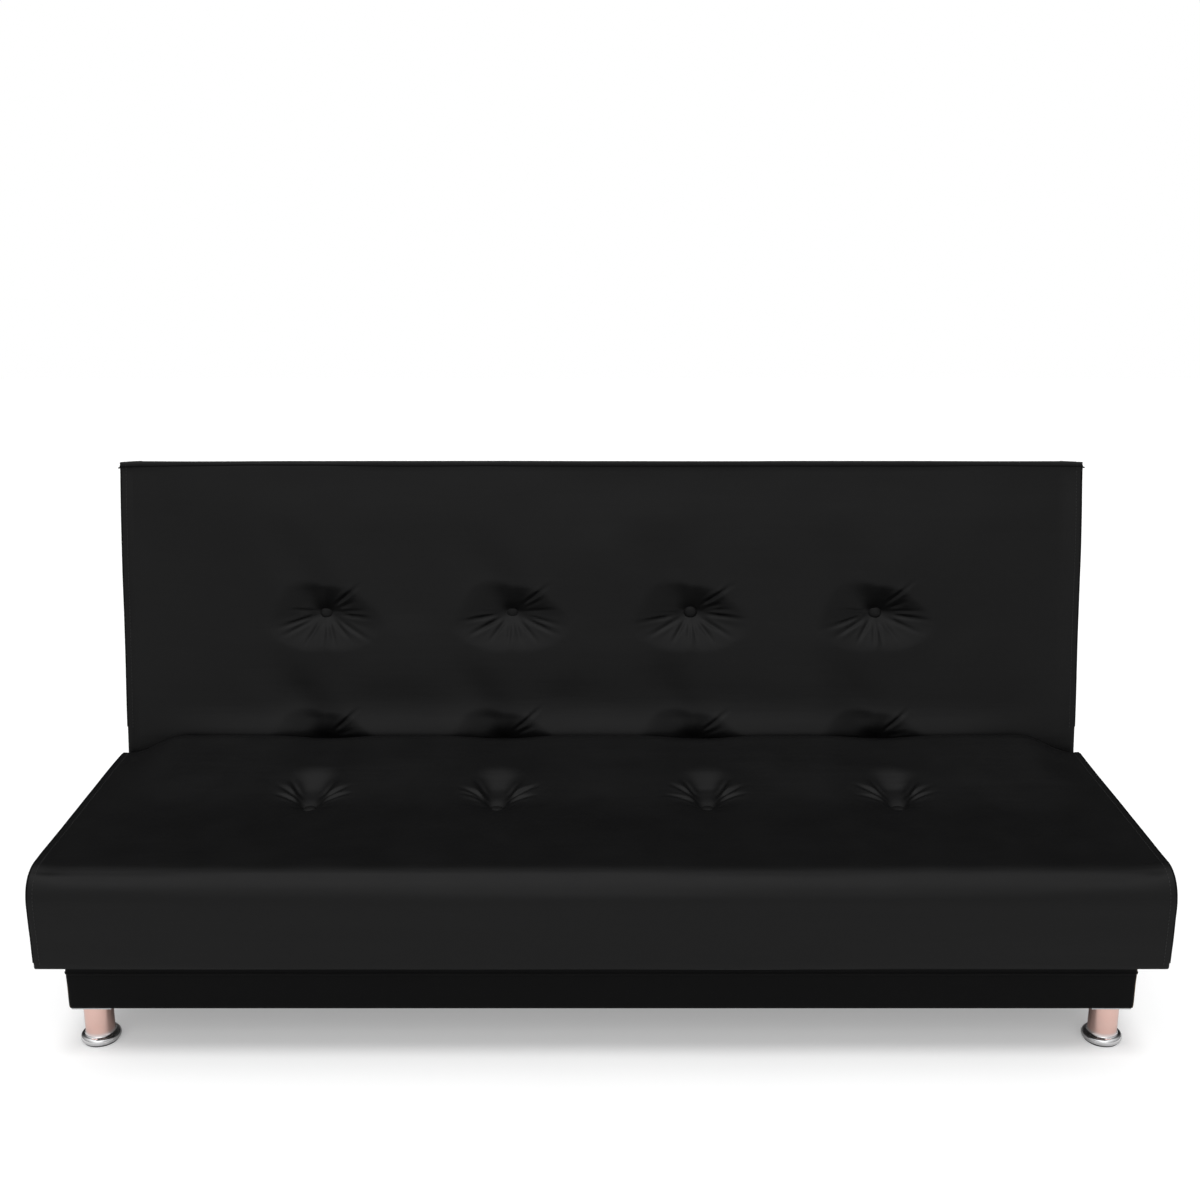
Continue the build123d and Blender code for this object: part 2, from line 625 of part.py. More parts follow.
def back_foams():
    over_webs = in_back(FULL_X, (0, BACK_WEB_M[0]), (0, BACK_LENGTH))
    frame = in_back(FULL_X, (BACK_WEB_M[0], BACK_FRAME_REAR), BACK_FRAME_U)
    return foam_pieces(back_block(COVER) - back_cuts(), over_webs, frame)


def back_rear_cover():
    """Cloth stapled over the hem on the rear of the back."""
    x = FRAME_X - REAR_CLOTH_INSET
    u = (BACK_FRAME_U[0] + REAR_CLOTH_INSET, BACK_FRAME_U[1] - REAR_CLOTH_INSET)
    return in_back((-x, x), (BACK_THICKNESS, BACK_THICKNESS + REAR_CLOTH), u)


def back_padding():
    spots = all_back_spots()
    slab, strips = back_foams()
    holes = ties(spots, TIE_HOLE_RADIUS, BACK_FRAME_FRONT)
    return {
        "back_cover": back_cover(),
        "back_rear_cover": back_rear_cover(),
        "back_foam": slab,
        "back_edge_foam": strips,
        "back_webbing": [BACK_PLACE * strip - holes for strip in webs(BACK_WEB_M, BACK_FRAME_U)],
        "back_buttons_upper": buttons(back_spots(UPPER_BUTTON_X, UPPER_BUTTON_U)),
        "back_buttons_lower": buttons(back_spots(LOWER_BUTTON_X, LOWER_BUTTON_U)),
        "back_button_ties": ties(spots, TIE_RADIUS, BACK_FRAME_FRONT),
        "back_tie_anchors": anchors(spots, BACK_FRAME_FRONT),
    }


def back_frame():
    low, high = BACK_FRAME_U
    m = (BACK_FRAME_FRONT, BACK_FRAME_REAR)
    between = (low + RAIL, high - RAIL)
    stile_x = (FRAME_X - RAIL, FRAME_X)
    stile = in_back(stile_x, m, between) - bolt_holes(back_bolt_points(), stile_x)
    return {
        "back_top_rail": in_back(FULL_X, m, (high - RAIL, high)),
        "back_bottom_rail": in_back(FULL_X, m, (low, low + RAIL)),
        "back_stile_left": sided(stile, "left"),
        "back_stile_right": stile,
        "back_cross_rails": [in_back((x - RAIL / 2, x + RAIL / 2), m, between) for x in BACK_CROSS_X],
    }


def back_hinges():
    bolts = bolt_line(back_bolt_points(), BACK_ARM_X[1], ARM_BOLT_HEAD, FRAME_X - BOLT_REACH)
    return {
        "hinge_back_bolts": both_sides(bolts),
        "hinge_back_arm_left": sided(back_arm(), "left"),
        "hinge_back_arm_right": back_arm(),
    }


BODIES = {
    "base": base_parts() | base_hinges(),
    "seat": seat_padding() | seat_frame() | seat_hinges(),
    "back": back_padding() | back_frame() | back_hinges(),
    "pawl_left": {"pawl_left": sided(pawl(), "left")},
    "pawl_right": {"pawl_right": pawl()},
}


def save(name, shape):
    """Write one node's STEP, as one solid or a group of separate solids."""
    solids = shape if isinstance(shape, list) else [shape]
    group = Compound([solid for one in solids for solid in one.solids()])
    export_step(Pos(0, -DEPTH / 2, 0) * group, "parts/" + name + ".step")


os.makedirs("parts", exist_ok=True)
for body_parts in BODIES.values():
    for node, shape in body_parts.items():
        save(node, shape)
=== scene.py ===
# %% [markdown]
# # A click-clack sofa bed
# A low upholstered plinth on four turned feet carries a padded seat and a padded back, and a ratchet
# hinge at each end lets the back lie down. The wooden frames, hinges and bolts come from the CAD
# model. This script makes what the eye meets first: the tufted cushions, the covered buttons, the
# wrapped plinth, the seams and stitches, the bright feet, and the finish of every material.

# %% Load the frame
import json
from math import cos, pi, radians, sin

import bpy
import numpy as np
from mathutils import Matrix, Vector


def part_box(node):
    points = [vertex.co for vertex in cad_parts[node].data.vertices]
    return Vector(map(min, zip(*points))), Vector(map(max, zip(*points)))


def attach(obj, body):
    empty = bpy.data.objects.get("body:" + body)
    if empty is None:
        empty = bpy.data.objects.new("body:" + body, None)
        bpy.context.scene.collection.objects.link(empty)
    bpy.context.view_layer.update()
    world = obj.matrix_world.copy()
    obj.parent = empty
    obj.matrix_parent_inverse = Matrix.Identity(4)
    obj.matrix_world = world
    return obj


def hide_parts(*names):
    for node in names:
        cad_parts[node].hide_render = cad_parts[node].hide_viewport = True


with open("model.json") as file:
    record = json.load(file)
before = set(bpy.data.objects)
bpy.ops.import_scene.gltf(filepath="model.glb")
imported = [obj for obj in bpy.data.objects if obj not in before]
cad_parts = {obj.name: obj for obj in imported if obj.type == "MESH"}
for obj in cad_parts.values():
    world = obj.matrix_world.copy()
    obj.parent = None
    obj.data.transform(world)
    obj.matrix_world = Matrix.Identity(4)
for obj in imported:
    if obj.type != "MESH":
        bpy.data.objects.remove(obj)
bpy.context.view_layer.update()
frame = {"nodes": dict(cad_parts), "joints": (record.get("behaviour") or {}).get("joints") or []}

MM = 0.001
nodes = frame["nodes"]
joints = {joint["name"]: joint for joint in frame["joints"]}

# %% [markdown]
# ## Camera, floor and light
# Black leather shows its shape only by what it reflects, so the room matters more than the leather's
# own colour. A pale sky in front and overhead gives long soft reflections, the dark room behind keeps
# the seat's top deep black, and a broad lamp high in front lights the seat's front roll.

# %% Camera
CAMERA_PLACE = (-0.0024, -2.5763, 1.4765)
CAMERA_DOWN = radians(16.3)
CAMERA_LENS = 45.0

camera_data = bpy.data.cameras.new("camera")
camera_data.lens = CAMERA_LENS
camera_data.sensor_width = 36.0
camera = bpy.data.objects.new("camera", camera_data)
camera.location = CAMERA_PLACE
camera.rotation_euler = (pi / 2 - CAMERA_DOWN, 0.0, 0.0)
bpy.context.scene.collection.objects.link(camera)
bpy.context.scene.camera = camera
bpy.context.scene.view_settings.view_transform = "Standard"


# %% Small helpers for shader nodes
def add_node(tree, kind, values=None, **settings):
    """Adds a node, sets its properties, and fills its inputs with values or links."""
    node = tree.nodes.new(kind)
    for key, value in settings.items():
        setattr(node, key, value)
    for key, value in (values or {}).items():
        if isinstance(value, bpy.types.NodeSocket):
            tree.links.new(value, node.inputs[key])
        else:
            node.inputs[key].default_value = value
    return node


def maths(tree, operation, first, second=0.0, third=0.0, clamp=False):
    values = {0: first, 1: second, 2: third}
    return add_node(tree, "ShaderNodeMath", values, operation=operation, use_clamp=clamp).outputs[0]


def ramp(tree, factor, stops, smooth=True):
    """A colour ramp of grey or colour stops, given as (place, colour)."""
    node = add_node(tree, "ShaderNodeValToRGB", {"Fac": factor})
    node.color_ramp.interpolation = "EASE" if smooth else "LINEAR"
    while len(node.color_ramp.elements) < len(stops):
        node.color_ramp.elements.new(1.0)
    for element, (place, colour) in zip(node.color_ramp.elements, stops):
        element.position = place
        element.color = (colour, colour, colour, 1) if isinstance(colour, float) else (*colour, 1)
    return node.outputs["Color"]


def mix_colour(tree, factor, first, second, blend="MIX"):
    node = tree.nodes.new("ShaderNodeMix")
    node.data_type, node.blend_type = "RGBA", blend
    for index, value in ((0, factor), (6, first), (7, second)):
        if isinstance(value, bpy.types.NodeSocket):
            tree.links.new(value, node.inputs[index])
        else:
            node.inputs[index].default_value = value if index == 0 else (*value, 1)
    return node.outputs[2]


# %% The room: a soft sky and a lamp overhead
# (place, brightness) from below to above, from the front to the rear, and from left to right
SKY_BY_HEIGHT = ((0.0, 0.55), (0.46, 0.7), (0.6, 1.0), (0.8, 1.26), (0.9, 1.55), (0.97, 1.75), (1.0, 1.6))
SKY_BY_DEPTH = ((0.0, 0.95), (0.46, 1.05), (0.6, 0.9), (0.73, 0.27), (0.83, 0.03), (1.0, 0.03))
SKY_BY_WIDTH = (
    (0.0, 0.3), (0.16, 0.5), (0.3, 0.8), (0.42, 1.04), (0.56, 1.03), (0.64, 0.82), (0.72, 0.6),
    (0.85, 0.42), (1.0, 0.3),
)
LAMP_HEIGHT = radians(67.0)
LAMP_SPREAD = radians(12.0)
LAMP_POWER = 1.3


def make_sky():
    world = bpy.data.worlds.new("studio")
    world.use_nodes = True
    tree = world.node_tree
    tree.nodes.clear()
    where = add_node(tree, "ShaderNodeTexCoord").outputs["Generated"]
    parts = add_node(tree, "ShaderNodeSeparateXYZ", {0: where}).outputs
    height, depth, width = (
        ramp(tree, maths(tree, "MULTIPLY_ADD", parts[axis], 0.5, 0.5), stops, smooth=False)
        for axis, stops in ((2, SKY_BY_HEIGHT), (1, SKY_BY_DEPTH), (0, SKY_BY_WIDTH))
    )
    glow = mix_colour(tree, 1.0, height, depth, blend="MULTIPLY")
    glow = mix_colour(tree, 1.0, glow, width, blend="MULTIPLY")
    lit = add_node(tree, "ShaderNodeBackground", {"Color": glow, "Strength": 1.0})
    plain = add_node(tree, "ShaderNodeBackground", {"Color": (1, 1, 1, 1), "Strength": 1.0})
    seen = add_node(tree, "ShaderNodeLightPath").outputs["Is Camera Ray"]
    both = add_node(tree, "ShaderNodeMixShader", {0: seen, 1: lit.outputs[0], 2: plain.outputs[0]})
    add_node(tree, "ShaderNodeOutputWorld", {"Surface": both.outputs[0]})
    bpy.context.scene.world = world


def make_lamp():
    """A broad lamp high in front, which throws the seat's shadow just behind the plinth's front."""
    light = bpy.data.lights.new("lamp", "SUN")
    light.angle = LAMP_SPREAD
    light.energy = LAMP_POWER
    lamp = bpy.data.objects.new("lamp", light)
    lamp.visible_glossy = False
    lamp.rotation_euler = (pi / 2 - LAMP_HEIGHT, 0.0, 0.0)
    bpy.context.scene.collection.objects.link(lamp)


make_sky()
make_lamp()

# %% The floor sweep
FLOOR_SIZE = 16.0
FLOOR_GREY = 0.74
FLOOR_GLOW = 0.3


def make_floor():
    half = FLOOR_SIZE / 2
    mesh = bpy.data.meshes.new("floor")
    corners = [(-half, -half, 0), (half, -half, 0), (half, half, 0), (-half, half, 0)]
    mesh.from_pydata(corners, [], [(0, 1, 2, 3)])
    floor = bpy.data.objects.new("floor", mesh)
    bpy.context.scene.collection.objects.link(floor)
    material = bpy.data.materials.new("floor_sweep")
    material.use_nodes = True
    tree = material.node_tree
    tree.nodes.clear()
    place = add_node(tree, "ShaderNodeTexCoord").outputs["Object"]
    grain = add_node(tree, "ShaderNodeTexNoise", {"Vector": place, "Scale": 3.0}).outputs["Fac"]
    grey = ramp(tree, grain, ((0.0, FLOOR_GREY - 0.01), (1.0, FLOOR_GREY + 0.01)))
    matt = add_node(tree, "ShaderNodeBsdfDiffuse", {"Color": grey})
    seen = add_node(tree, "ShaderNodeLightPath").outputs["Is Camera Ray"]
    glow = add_node(tree, "ShaderNodeEmission", {"Strength": maths(tree, "MULTIPLY", seen, FLOOR_GLOW)})
    both = add_node(tree, "ShaderNodeAddShader", {0: matt.outputs[0], 1: glow.outputs[0]})
    add_node(tree, "ShaderNodeOutputMaterial", {"Surface": both.outputs[0]})
    mesh.materials.append(material)


make_floor()


# %% [markdown]
# ## Leather, cloth, wood and metal
# Coated black fabric has a pebbled grain about a millimetre across, a slightly uneven sheen and a dull
# bloom where hands and clothes rub it. The grain, the weave and the dust are used by several
# materials, so each is a node group with named inputs, and each material keeps its own shader.

# %% Node groups
def new_group(name, inputs, outputs):
    """An empty shader group with float or vector sockets, its input node and its output node."""
    group = bpy.data.node_groups.new(name, "ShaderNodeTree")
    for socket, kind, value in inputs:
        made = group.interface.new_socket(socket, in_out="INPUT", socket_type=kind)
        if value is not None:
            made.default_value = value
    for socket, kind in outputs:
        group.interface.new_socket(socket, in_out="OUTPUT", socket_type=kind)
    source = group.nodes.new("NodeGroupInput")
    target = group.nodes.new("NodeGroupOutput")
    return group, source.outputs, target.inputs


def make_pebble_grain():
    """Pebbles between fine creases, with a slow unevenness that shades them."""
    group, given, out = new_group(
        "pebble_grain",
        [("Place", "NodeSocketVector", None), ("Cells per metre", "NodeSocketFloat", 800.0),
         ("Unevenness", "NodeSocketFloat", 0.5)],
        [("Height", "NodeSocketFloat"), ("Shade", "NodeSocketFloat")],
    )
    cells = {"Vector": given["Place"], "Scale": given["Cells per metre"]}
    pebbles = add_node(group, "ShaderNodeTexVoronoi", cells, feature="DISTANCE_TO_EDGE").outputs["Distance"]
    raised = maths(group, "SMOOTH_MIN", pebbles, 0.25, 0.2)
    slow = {"Vector": given["Place"], "Scale": 14.0, "Detail": 3.0}
    cloud = add_node(group, "ShaderNodeTexNoise", slow).outputs["Fac"]
    shade = maths(group, "MULTIPLY_ADD", maths(group, "SUBTRACT", cloud, 0.5), given["Unevenness"], 0.5)
    group.links.new(raised, out["Height"])
    group.links.new(shade, out["Shade"])
    return group


def make_cloth_weave():
    """Threads over and under each other."""
    group, given, out = new_group(
        "cloth_weave",
        [("Place", "NodeSocketVector", None), ("Threads per metre", "NodeSocketFloat", 900.0)],
        [("Height", "NodeSocketFloat"), ("Shade", "NodeSocketFloat")],
    )
    ribs = []
    for direction in ("X", "Y"):
        values = {"Vector": given["Place"], "Scale": maths(group, "DIVIDE", given["Threads per metre"], 20.0)}
        values["Distortion"] = 0.4
        ribs.append(add_node(group, "ShaderNodeTexWave", values, bands_direction=direction).outputs["Fac"])
    height = maths(group, "MAXIMUM", ribs[0], ribs[1])
    slow = {"Vector": given["Place"], "Scale": 60.0, "Detail": 4.0}
    cloud = add_node(group, "ShaderNodeTexNoise", slow).outputs["Fac"]
    group.links.new(height, out["Height"])
    group.links.new(cloud, out["Shade"])
    return group


def make_dust():
    """A little dust that lies on faces that look up, thicker in patches."""
    group, given, out = new_group(
        "dust",
        [("Place", "NodeSocketVector", None), ("Amount", "NodeSocketFloat", 0.1)],
        [("Mask", "NodeSocketFloat")],
    )
    normal = add_node(group, "ShaderNodeNewGeometry").outputs["Normal"]
    up = add_node(group, "ShaderNodeSeparateXYZ", {0: normal})
    level = maths(group, "POWER", maths(group, "MAXIMUM", up.outputs[2], 0.0), 3.0)
    patch = {"Vector": given["Place"], "Scale": 9.0, "Detail": 5.0}
    cloud = add_node(group, "ShaderNodeTexNoise", patch).outputs["Fac"]
    mask = maths(group, "MULTIPLY", maths(group, "MULTIPLY", level, cloud), given["Amount"])
    group.links.new(mask, out["Mask"])
    return group


PEBBLE_GRAIN = make_pebble_grain()
CLOTH_WEAVE = make_cloth_weave()
DUST = make_dust()
print("node groups:", [group.name for group in (PEBBLE_GRAIN, CLOTH_WEAVE, DUST)])


# %% Helpers for materials
def new_material(name):
    """A material with its tree, its Principled shader and the object's own coordinates."""
    material = bpy.data.materials.new(name)
    material.use_nodes = True
    tree = material.node_tree
    shader = tree.nodes["Principled BSDF"]
    place = add_node(tree, "ShaderNodeTexCoord").outputs["Object"]
    return material, tree, shader, place


def use_group(tree, group, **values):
    """Places a group; its inputs are named with underscores for spaces."""
    node = tree.nodes.new("ShaderNodeGroup")
    node.node_tree = group
    for key, value in values.items():
        socket = node.inputs[key.replace("_", " ")]
        if isinstance(value, bpy.types.NodeSocket):
            tree.links.new(value, socket)
        else:
            socket.default_value = value
    return node.outputs


def add_bump(tree, shader, height, distance, strength=1.0):
    values = {"Height": height, "Distance": distance, "Strength": strength}
    bump = add_node(tree, "ShaderNodeBump", values)
    tree.links.new(bump.outputs["Normal"], shader.inputs["Normal"])


def grey(value):
    return (value, value, value)


# %% Faux leather
LEATHER_DARK = (0.0030, 0.0030, 0.0031)
LEATHER_LIGHT = (0.0042, 0.0042, 0.0043)
LEATHER_SPECULAR = 0.17
LEATHER_ROUGH = (0.36, 0.44)
LEATHER_DUST = 0.02
DUST_ON_LEATHER = (0.08, 0.08, 0.08)
DULL_SPECULAR = 0.07


def make_leather(name, rough, cells=850.0, streaks=0.0, specular=LEATHER_SPECULAR):
    """Pebbled black coated fabric, with long faint tension streaks when it is pulled tight."""
    material, tree, shader, place = new_material(name)
    grain = use_group(tree, PEBBLE_GRAIN, Place=place, Cells_per_metre=cells, Unevenness=0.9)
    dust = use_group(tree, DUST, Place=place, Amount=LEATHER_DUST)
    colour = mix_colour(tree, grain["Shade"], LEATHER_DARK, LEATHER_LIGHT)
    colour = mix_colour(tree, dust["Mask"], colour, DUST_ON_LEATHER)
    tree.links.new(colour, shader.inputs["Base Color"])
    rubbed = ramp(tree, grain["Shade"], ((0.2, rough[0]), (0.8, rough[1])))
    tree.links.new(rubbed, shader.inputs["Roughness"])
    shader.inputs["Specular IOR Level"].default_value = specular
    height = grain["Height"]
    if streaks:
        stretched = add_node(tree, "ShaderNodeMapping", {"Vector": place, "Scale": (1.6, 22.0, 22.0)})
        pulled = {"Vector": stretched.outputs[0], "Scale": 2.4, "Detail": 4.0}
        streak = add_node(tree, "ShaderNodeTexNoise", pulled).outputs["Fac"]
        height = maths(tree, "MULTIPLY_ADD", streak, streaks, height)
    add_bump(tree, shader, height, 0.0001)
    return material


LEATHER = make_leather("faux_leather", LEATHER_ROUGH, streaks=5.0)
DULL_LEATHER = make_leather("dull_leather", (0.5, 0.6), streaks=3.0, specular=DULL_SPECULAR)
BUTTON_LEATHER = make_leather("button_leather", (0.5, 0.58), cells=950.0)


# %% Cloth, foam, webbing and twine
def make_cloth(name, dark, light, threads, rough=0.9, sheen=0.3, depth=0.0002):
    """A woven or felted cloth, its threads shaded a little differently."""
    material, tree, shader, place = new_material(name)
    weave = use_group(tree, CLOTH_WEAVE, Place=place, Threads_per_metre=threads)
    dust = use_group(tree, DUST, Place=place, Amount=0.05)
    thread = maths(tree, "MULTIPLY_ADD", weave["Height"], 0.5, maths(tree, "MULTIPLY", weave["Shade"], 0.5))
    colour = mix_colour(tree, thread, dark, light)
    colour = mix_colour(tree, dust["Mask"], colour, grey(0.4))
    tree.links.new(colour, shader.inputs["Base Color"])
    shader.inputs["Roughness"].default_value = rough
    shader.inputs["Sheen Weight"].default_value = sheen
    add_bump(tree, shader, weave["Height"], depth)
    return material


def make_foam(name, dark, light):
    """Open-cell foam: fine pores, yellowed in patches."""
    material, tree, shader, place = new_material(name)
    pores = add_node(tree, "ShaderNodeTexVoronoi", {"Vector": place, "Scale": 900.0}).outputs["Distance"]
    patches = {"Vector": place, "Scale": 12.0, "Detail": 4.0}
    cloud = add_node(tree, "ShaderNodeTexNoise", patches).outputs["Fac"]
    tree.links.new(mix_colour(tree, cloud, dark, light), shader.inputs["Base Color"])
    shader.inputs["Roughness"].default_value = 0.95
    add_bump(tree, shader, pores, 0.0004)
    return material


LINING = make_cloth("lining_cloth", grey(0.012), grey(0.028), 1100.0, depth=0.00005)
WEBBING = make_cloth("webbing", (0.09, 0.08, 0.07), (0.17, 0.155, 0.14), 700.0, depth=0.0004)
TWINE = make_cloth("twine", (0.6, 0.57, 0.5), (0.82, 0.79, 0.72), 1500.0)
THREAD = make_cloth("thread", grey(0.004), grey(0.008), 2500.0, rough=0.6, sheen=0.0)
FOAM = make_foam("foam", (0.72, 0.66, 0.5), (0.82, 0.77, 0.64))


# %% Wood, metal and plastic
def make_wood(name, dark, light):
    """Sawn softwood: growth rings drawn out along the rail, and pores."""
    material, tree, shader, place = new_material(name)
    long_grain = add_node(tree, "ShaderNodeMapping", {"Vector": place, "Scale": (2.0, 30.0, 30.0)}).outputs[0]
    rings = {"Vector": long_grain, "Scale": 1.6, "Distortion": 5.0, "Detail": 3.0, "Detail Scale": 2.0}
    ring = add_node(tree, "ShaderNodeTexWave", rings, bands_direction="Y").outputs["Fac"]
    pores = add_node(tree, "ShaderNodeTexNoise", {"Vector": long_grain, "Scale": 30.0}).outputs["Fac"]
    both = maths(tree, "MULTIPLY_ADD", pores, 0.35, maths(tree, "MULTIPLY", ring, 0.65))
    tree.links.new(mix_colour(tree, both, dark, light), shader.inputs["Base Color"])
    tree.links.new(ramp(tree, pores, ((0.3, 0.55), (0.7, 0.75))), shader.inputs["Roughness"])
    add_bump(tree, shader, both, 0.0003)
    return material


def make_steel(name, colour, rough, brush=(300.0, 300.0, 12.0)):
    """Plated or sprung steel with fine drawn scratches and a few dull stains."""
    material, tree, shader, place = new_material(name)
    drawn = add_node(tree, "ShaderNodeMapping", {"Vector": place, "Scale": brush}).outputs[0]
    scratch = add_node(tree, "ShaderNodeTexNoise", {"Vector": drawn, "Scale": 4.0}).outputs["Fac"]
    stains = {"Vector": place, "Scale": 40.0, "Detail": 5.0}
    stain = add_node(tree, "ShaderNodeTexNoise", stains).outputs["Fac"]
    darker = tuple(0.75 * value for value in colour)
    tree.links.new(mix_colour(tree, stain, darker, colour), shader.inputs["Base Color"])
    tree.links.new(ramp(tree, scratch, ((0.3, rough - 0.08), (0.7, rough + 0.1))), shader.inputs["Roughness"])
    shader.inputs["Metallic"].default_value = 1.0
    add_bump(tree, shader, scratch, 0.00003)
    return material


def make_plastic(name, dark, light, rough):
    """Moulded plastic with a fine matt texture."""
    material, tree, shader, place = new_material(name)
    grain = add_node(tree, "ShaderNodeTexNoise", {"Vector": place, "Scale": 1500.0}).outputs["Fac"]
    cloud = add_node(tree, "ShaderNodeTexNoise", {"Vector": place, "Scale": 25.0}).outputs["Fac"]
    tree.links.new(mix_colour(tree, cloud, dark, light), shader.inputs["Base Color"])
    tree.links.new(ramp(tree, grain, ((0.3, rough - 0.06), (0.7, rough + 0.06))), shader.inputs["Roughness"])
    add_bump(tree, shader, grain, 0.00005)
    return material


WOOD = make_wood("frame_wood", (0.45, 0.29, 0.15), (0.72, 0.55, 0.36))
ZINC = make_steel("zinc_steel", (0.62, 0.63, 0.64), 0.34)
SPRING = make_steel("spring_steel", (0.36, 0.36, 0.38), 0.3)
BLACK_PLASTIC = make_plastic("black_plastic", grey(0.02), grey(0.04), 0.5)
NYLON = make_plastic("nylon", (0.78, 0.77, 0.72), (0.88, 0.87, 0.84), 0.45)

# %% Bright feet
# The rose colour below is a painted reflection of a warm room in the tube; the plating's own colour is the
# plain chrome.
PAINTED_ROSE_REFLECTION = (0.93, 0.60, 0.52)
CHROME = (0.86, 0.86, 0.87)
# The painted rose reflection fades in between these heights, above the flange.
TUBE_FROM = 16 * MM
TUBE_TO = 24 * MM


def make_chrome(name):
    """Polished plating. The tube carries a painted rose reflection of a warm room, clearing towards the
    flange.
    """
    material, tree, shader, place = new_material(name)
    height = add_node(tree, "ShaderNodeSeparateXYZ", {0: place}).outputs[2]
    values = {"Value": height, "From Min": TUBE_FROM, "From Max": TUBE_TO}
    tube = add_node(tree, "ShaderNodeMapRange", values).outputs[0]
    clouds = {"Vector": place, "Scale": 60.0, "Detail": 4.0}
    cloud = add_node(tree, "ShaderNodeTexNoise", clouds).outputs["Fac"]
    # Painted reflection: the warm room's rose colour, clouded a little towards pale grey.
    painted_reflection = mix_colour(tree, maths(tree, "MULTIPLY", cloud, 0.15), PAINTED_ROSE_REFLECTION, grey(0.95))
    tree.links.new(mix_colour(tree, tube, CHROME, painted_reflection), shader.inputs["Base Color"])
    smear = ramp(tree, cloud, ((0.35, 0.07), (0.75, 0.16)))
    tree.links.new(smear, shader.inputs["Roughness"])
    shader.inputs["Metallic"].default_value = 1.0
    return material


BRIGHT = make_chrome("chrome_feet")

# %% [markdown]
# ## Finish of the CAD pieces
# The rails, webbing, hinges and bolts keep their CAD shape, which is already right. Each one only gets
# the material that its slot in the record names.

# %% Give each CAD node its material
SLOT_MATERIALS = {
    "faux_leather": LEATHER, "button_leather": BUTTON_LEATHER, "lining_cloth": LINING, "foam": FOAM,
    "webbing": WEBBING, "twine": TWINE, "frame_wood": WOOD, "chrome_feet": BRIGHT,
    "black_plastic": BLACK_PLASTIC, "nylon": NYLON, "zinc_steel": ZINC, "spring_steel": SPRING,
}


def slot_of(node):
    """The record's slot for a node, from the name that its imported material carries."""
    return node.data.materials[0].name.split(".")[0]


finished = {}
for name, node in nodes.items():
    slot_name = slot_of(node)
    finished[slot_name] = finished.get(slot_name, 0) + 1
    for index in range(len(node.data.materials)):
        node.data.materials[index] = SLOT_MATERIALS[slot_name]
print("CAD nodes by finish:", finished)


# %% [markdown]
# ## Two tufted cushions
# Each panel is a foam block with a cover pulled over it. Twine drags the buttons into the foam, and the
# leather gathers in short folds that run to each button. A closed shell of crossing rows and columns is
# drawn with more rows near the buttons, where the folds are only a few millimetres wide. The folds
# are drawn by rule, because they have a known place, and cloth simulation then fills the cushion.

# %% Rows, columns and outlines of a panel
HEM = 45.0  # width of the cover's edge that is turned in on a panel's hidden side


def stations(low, high, spots, fine, coarse, reach):
    """Places from low to high, close together near the spots and wider apart elsewhere."""
    spots = np.asarray(spots, float)
    places = [low]
    while places[-1] < high:
        away = max(0.0, np.abs(spots - places[-1]).min() - reach)
        places.append(places[-1] + min(coarse, fine + 0.12 * away))
    places = np.array(places)
    return low + (places - low) * (high - low) / (places[-1] - low)


def corner_arc(centre, radius, start, step):
    """A quarter turn, clockwise from the start angle: rows of a, b and the normal."""
    count = max(3, round(radius * pi / 2 / step))
    turn = np.radians(start - 90 * np.linspace(0, 1, count + 1))
    normal = np.stack([np.cos(turn), np.sin(turn)], 1)
    return np.hstack([np.asarray(centre) + radius * normal, normal])


def straight(start, stop, step, normal, places=None):
    """Inner points of a straight side."""
    start, stop = np.asarray(start, float), np.asarray(stop, float)
    if places is None:
        count = max(2, round(np.linalg.norm(stop - start) / step))
        places = np.linspace(0, 1, count + 1)[1:-1]
    points = start + (stop - start) * places[:, None]
    return np.hstack([points, np.tile(normal, (len(points), 1))])


def panel_outline(length, thickness, radii, rows, step):
    """A panel's closed outline in (a, b), with its face at b = thickness; rows are places on the face.
    The hidden side has close rows at the hem's edges, where the dust cloth's recess begins."""
    low_face, high_face, high_hidden, low_hidden = radii
    face = (rows - low_face) / (length - high_face - low_face)
    face = face[(face > 0.004) & (face < 0.996)]
    top, far = thickness, length
    return np.vstack([
        straight((low_face, top), (far - high_face, top), step, (0, 1), face),
        corner_arc((far - high_face, top - high_face), high_face, 90, step / 2),
        straight((far, top - high_face), (far, high_hidden), step, (1, 0)),
        corner_arc((far - high_hidden, high_hidden), high_hidden, 0, step / 2),
        straight((far - high_hidden, 0), (far - HEM - 1, 0), step, (0, -1)),
        straight((far - HEM, 0), (HEM, 0), 3 * step, (0, -1), np.linspace(0, 1, 18)),
        straight((HEM - 1, 0), (low_hidden, 0), step, (0, -1)),
        corner_arc((low_hidden, low_hidden), low_hidden, -90, step / 2),
        straight((0, low_hidden), (0, top - low_face), step, (-1, 0)),
        corner_arc((low_face, top - low_face), low_face, 180, step / 2),
    ])


def end_columns(half, radius, columns):
    """Columns along X, with extra ones round both rounded ends."""
    turn = np.radians([0, 15, 30, 45, 60, 75])
    last = half - radius + radius * np.sin(turn + radians(7))
    return np.concatenate([-last[::-1], columns[np.abs(columns) < half - radius - 2], last])


# %% Soft random hills and single folds
def soft_noise(x, y, size_x, size_y, seed):
    """Smooth random hills of about that size, from -1 to 1."""
    table = np.random.default_rng(seed).uniform(-1, 1, (61, 61))
    u, v = x / size_x + 1000.0, y / size_y + 1000.0
    i, j = np.floor(u).astype(int), np.floor(v).astype(int)
    s, t = u - i, v - j
    s, t = s * s * (3 - 2 * s), t * t * (3 - 2 * t)
    low = table[i % 61, j % 61] * (1 - s) + table[(i + 1) % 61, j % 61] * s
    high = table[i % 61, (j + 1) % 61] * (1 - s) + table[(i + 1) % 61, (j + 1) % 61] * s
    return low * (1 - t) + high * t


def step_up(value, start, stop):
    """0 before start, 1 after stop, and smooth between."""
    t = np.clip((value - start) / (stop - start), 0, 1)
    return t * t * (3 - 2 * t)


